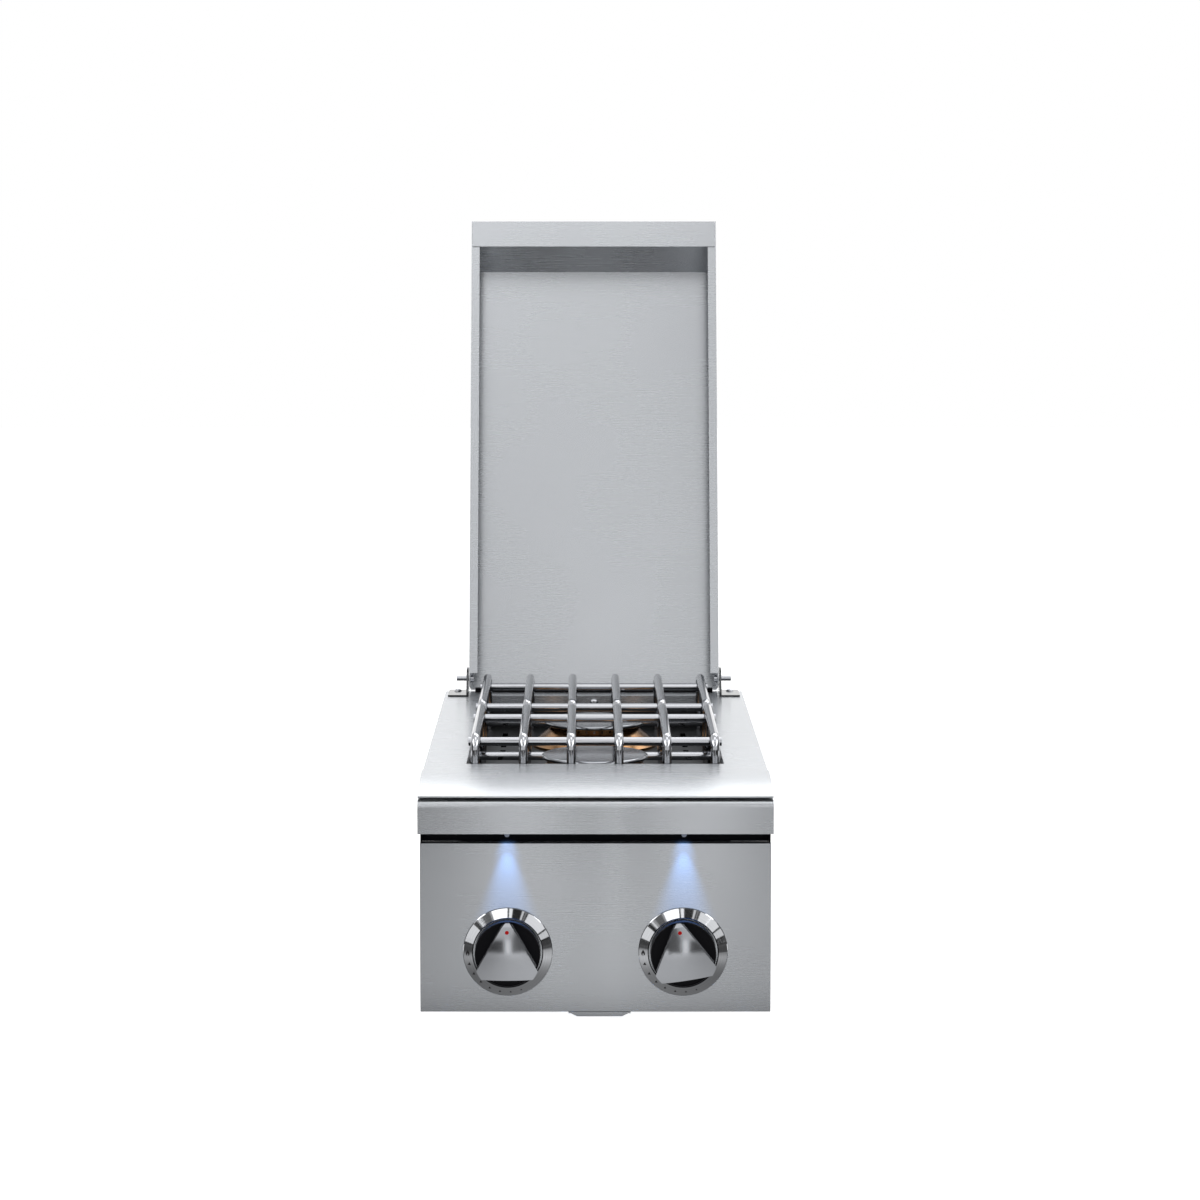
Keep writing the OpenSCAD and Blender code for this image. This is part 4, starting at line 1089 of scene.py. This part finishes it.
        def build(tree):
            half = 0.48
            parts = put(tree, "ShaderNodeSeparateXYZ", {0: on_object(tree)}).outputs
            ramp = put(tree, "ShaderNodeMapRange", {"Value": parts[0], "From Min": -half, "From Max": half})
            made = put(tree, "ShaderNodeValToRGB", {0: ramp.outputs[0]})
            made.color_ramp.interpolation = "EASE"
            points = made.color_ramp.elements
            for step in range(1, len(across) - 1):
                points.new(step / (len(across) - 1))
            for point, grey in zip(points, across):
                point.color = (grey, grey, grey, 1)
            strength = made.outputs[0]
            for reach, values in ((close, (start, 1.0)), (away, (1.0, end))):
                ends = {"From Min": reach[0], "From Max": reach[1], "To Min": values[0], "To Max": values[1]}
                depth = put(
                    tree,
                    "ShaderNodeMapRange",
                    {"Value": parts[1], **ends},
                    interpolation_type="SMOOTHSTEP",
                )
                strength = maths(tree, "MULTIPLY", strength, depth.outputs[0])
            return strength

        return build

    def card(self, name, strength, corners):
        """Adds a glowing sheet to the scene, where only reflections show it."""
        mesh = bpy.data.meshes.new(name)
        mesh.from_pydata(corners, [], [tuple(range(len(corners)))])
        mesh.materials.append(self.glowing(name, strength))
        piece = bpy.data.objects.new(name, mesh)
        piece.visible_camera = False
        piece.visible_diffuse = False
        piece.visible_transmission = False
        piece.visible_shadow = False
        bpy.context.scene.collection.objects.link(piece)

    def level(self, name, strength, outline, height):
        """A card that lies at a height."""
        self.card(name, strength, [(x, y, height) for x, y in outline])

    def wall(self, name, strength, start, end, low, high):
        """A card that stands over a line on the floor."""
        self.card(name, strength, [(*start, low), (*end, low), (*end, high), (*start, high)])

    def arch(self):
        """An arch of light and dark panels, which draws the streaks on the bezels.

        A panel is given as the angles round the bezel between which it shows, and its strength.
        """
        panels = [
            (-82, -52, 0.95), (-52, -47, 0.03), (-47, -45, 0.25), (-45, -42, 0.9), (-42, -38, 0.4),
            (-38, -27, 0.14), (-27, -24, 0.4), (-24, -3, 1.9), (-3, -0.5, 0.1), (-0.5, 4, 1.2),
            (4, 17, 0.02), (17, 20, 0.8), (20, 22, 0.05), (22, 23.5, 0.3), (23.5, 26, 0.05),
            (26, 56, 1.0), (56, 58.5, 0.05), (58.5, 68, 0.8), (68, 84, 0.02),
        ]
        distance, brighter = 5, 1.25
        sight = math.radians(12.7)
        view = Vector((0, -math.cos(sight), math.sin(sight)))
        centre = (KNOB["left"] + KNOB["right"]) / 2
        # How far the bezel's cone leans where the lower and the upper edge of a panel show
        below, above = 24.5, 28.7
        for number, (start, end, strength) in enumerate(panels):
            corners = []
            for turn, lean in ((start, below), (end, below), (end, above), (start, above)):
                turn, lean = math.radians(turn), math.radians(lean)
                out = math.sin(lean)
                facing = Vector((math.sin(turn) * out, -math.cos(lean), math.cos(turn) * out))
                way = 2 * facing.dot(view) * facing - view
                corners.append(centre + way.normalized() * distance)
            self.card(f"arch_{number}", strength * brighter, [tuple(c) for c in corners])

    def softbox(self, name, place, aim, size, watts):
        """A rectangular lamp at a place, aimed at a point."""
        data = bpy.data.lights.new(name, "AREA")
        data.shape = "RECTANGLE"
        data.size, data.size_y = size
        data.energy = watts
        light = bpy.data.objects.new(name, data)
        light.location = place
        light.rotation_euler = (Vector(aim) - Vector(place)).to_track_quat("-Z", "Y").to_euler()
        light.visible_camera = False
        bpy.context.scene.collection.objects.link(light)


OPERATORS = (
    SIDEBURNER_OT_sheets,
    SIDEBURNER_OT_rivets,
    SIDEBURNER_OT_grates,
    SIDEBURNER_OT_burners,
    SIDEBURNER_OT_knobs,
    SIDEBURNER_OT_gas,
    SIDEBURNER_OT_lamps,
    SIDEBURNER_OT_stage,
)


class SIDEBURNER_PT_panel(bpy.types.Panel):
    """Lists the steps and their settings"""

    bl_idname = "SIDEBURNER_PT_panel"
    bl_label = "Side burner"
    bl_space_type = "VIEW_3D"
    bl_region_type = "UI"
    bl_category = "Side burner"

    def draw(self, context):
        column = self.layout.column()
        for operator in OPERATORS:
            column.operator(operator.bl_idname)
        for group in ("sideburner_finish", "sideburner_detail", "sideburner_studio"):
            settings = getattr(context.scene, group)
            for name in settings.__annotations__:
                column.prop(settings, name)


GROUPS = {
    "sideburner_finish": BurnerFinish,
    "sideburner_detail": BurnerDetail,
    "sideburner_studio": BurnerStudio,
}
CLASSES = (*GROUPS.values(), *OPERATORS, SIDEBURNER_PT_panel)


def register():
    for item in CLASSES:
        bpy.utils.register_class(item)
    for name, group in GROUPS.items():
        setattr(bpy.types.Scene, name, PointerProperty(type=group))


def unregister():
    for name in GROUPS:
        delattr(bpy.types.Scene, name)
    for item in reversed(CLASSES):
        bpy.utils.unregister_class(item)


def main():
    register()
    for operator in OPERATORS:
        group, name = operator.bl_idname.split(".")
        getattr(getattr(bpy.ops, group), name)()


if __name__ == "__main__":
    main()
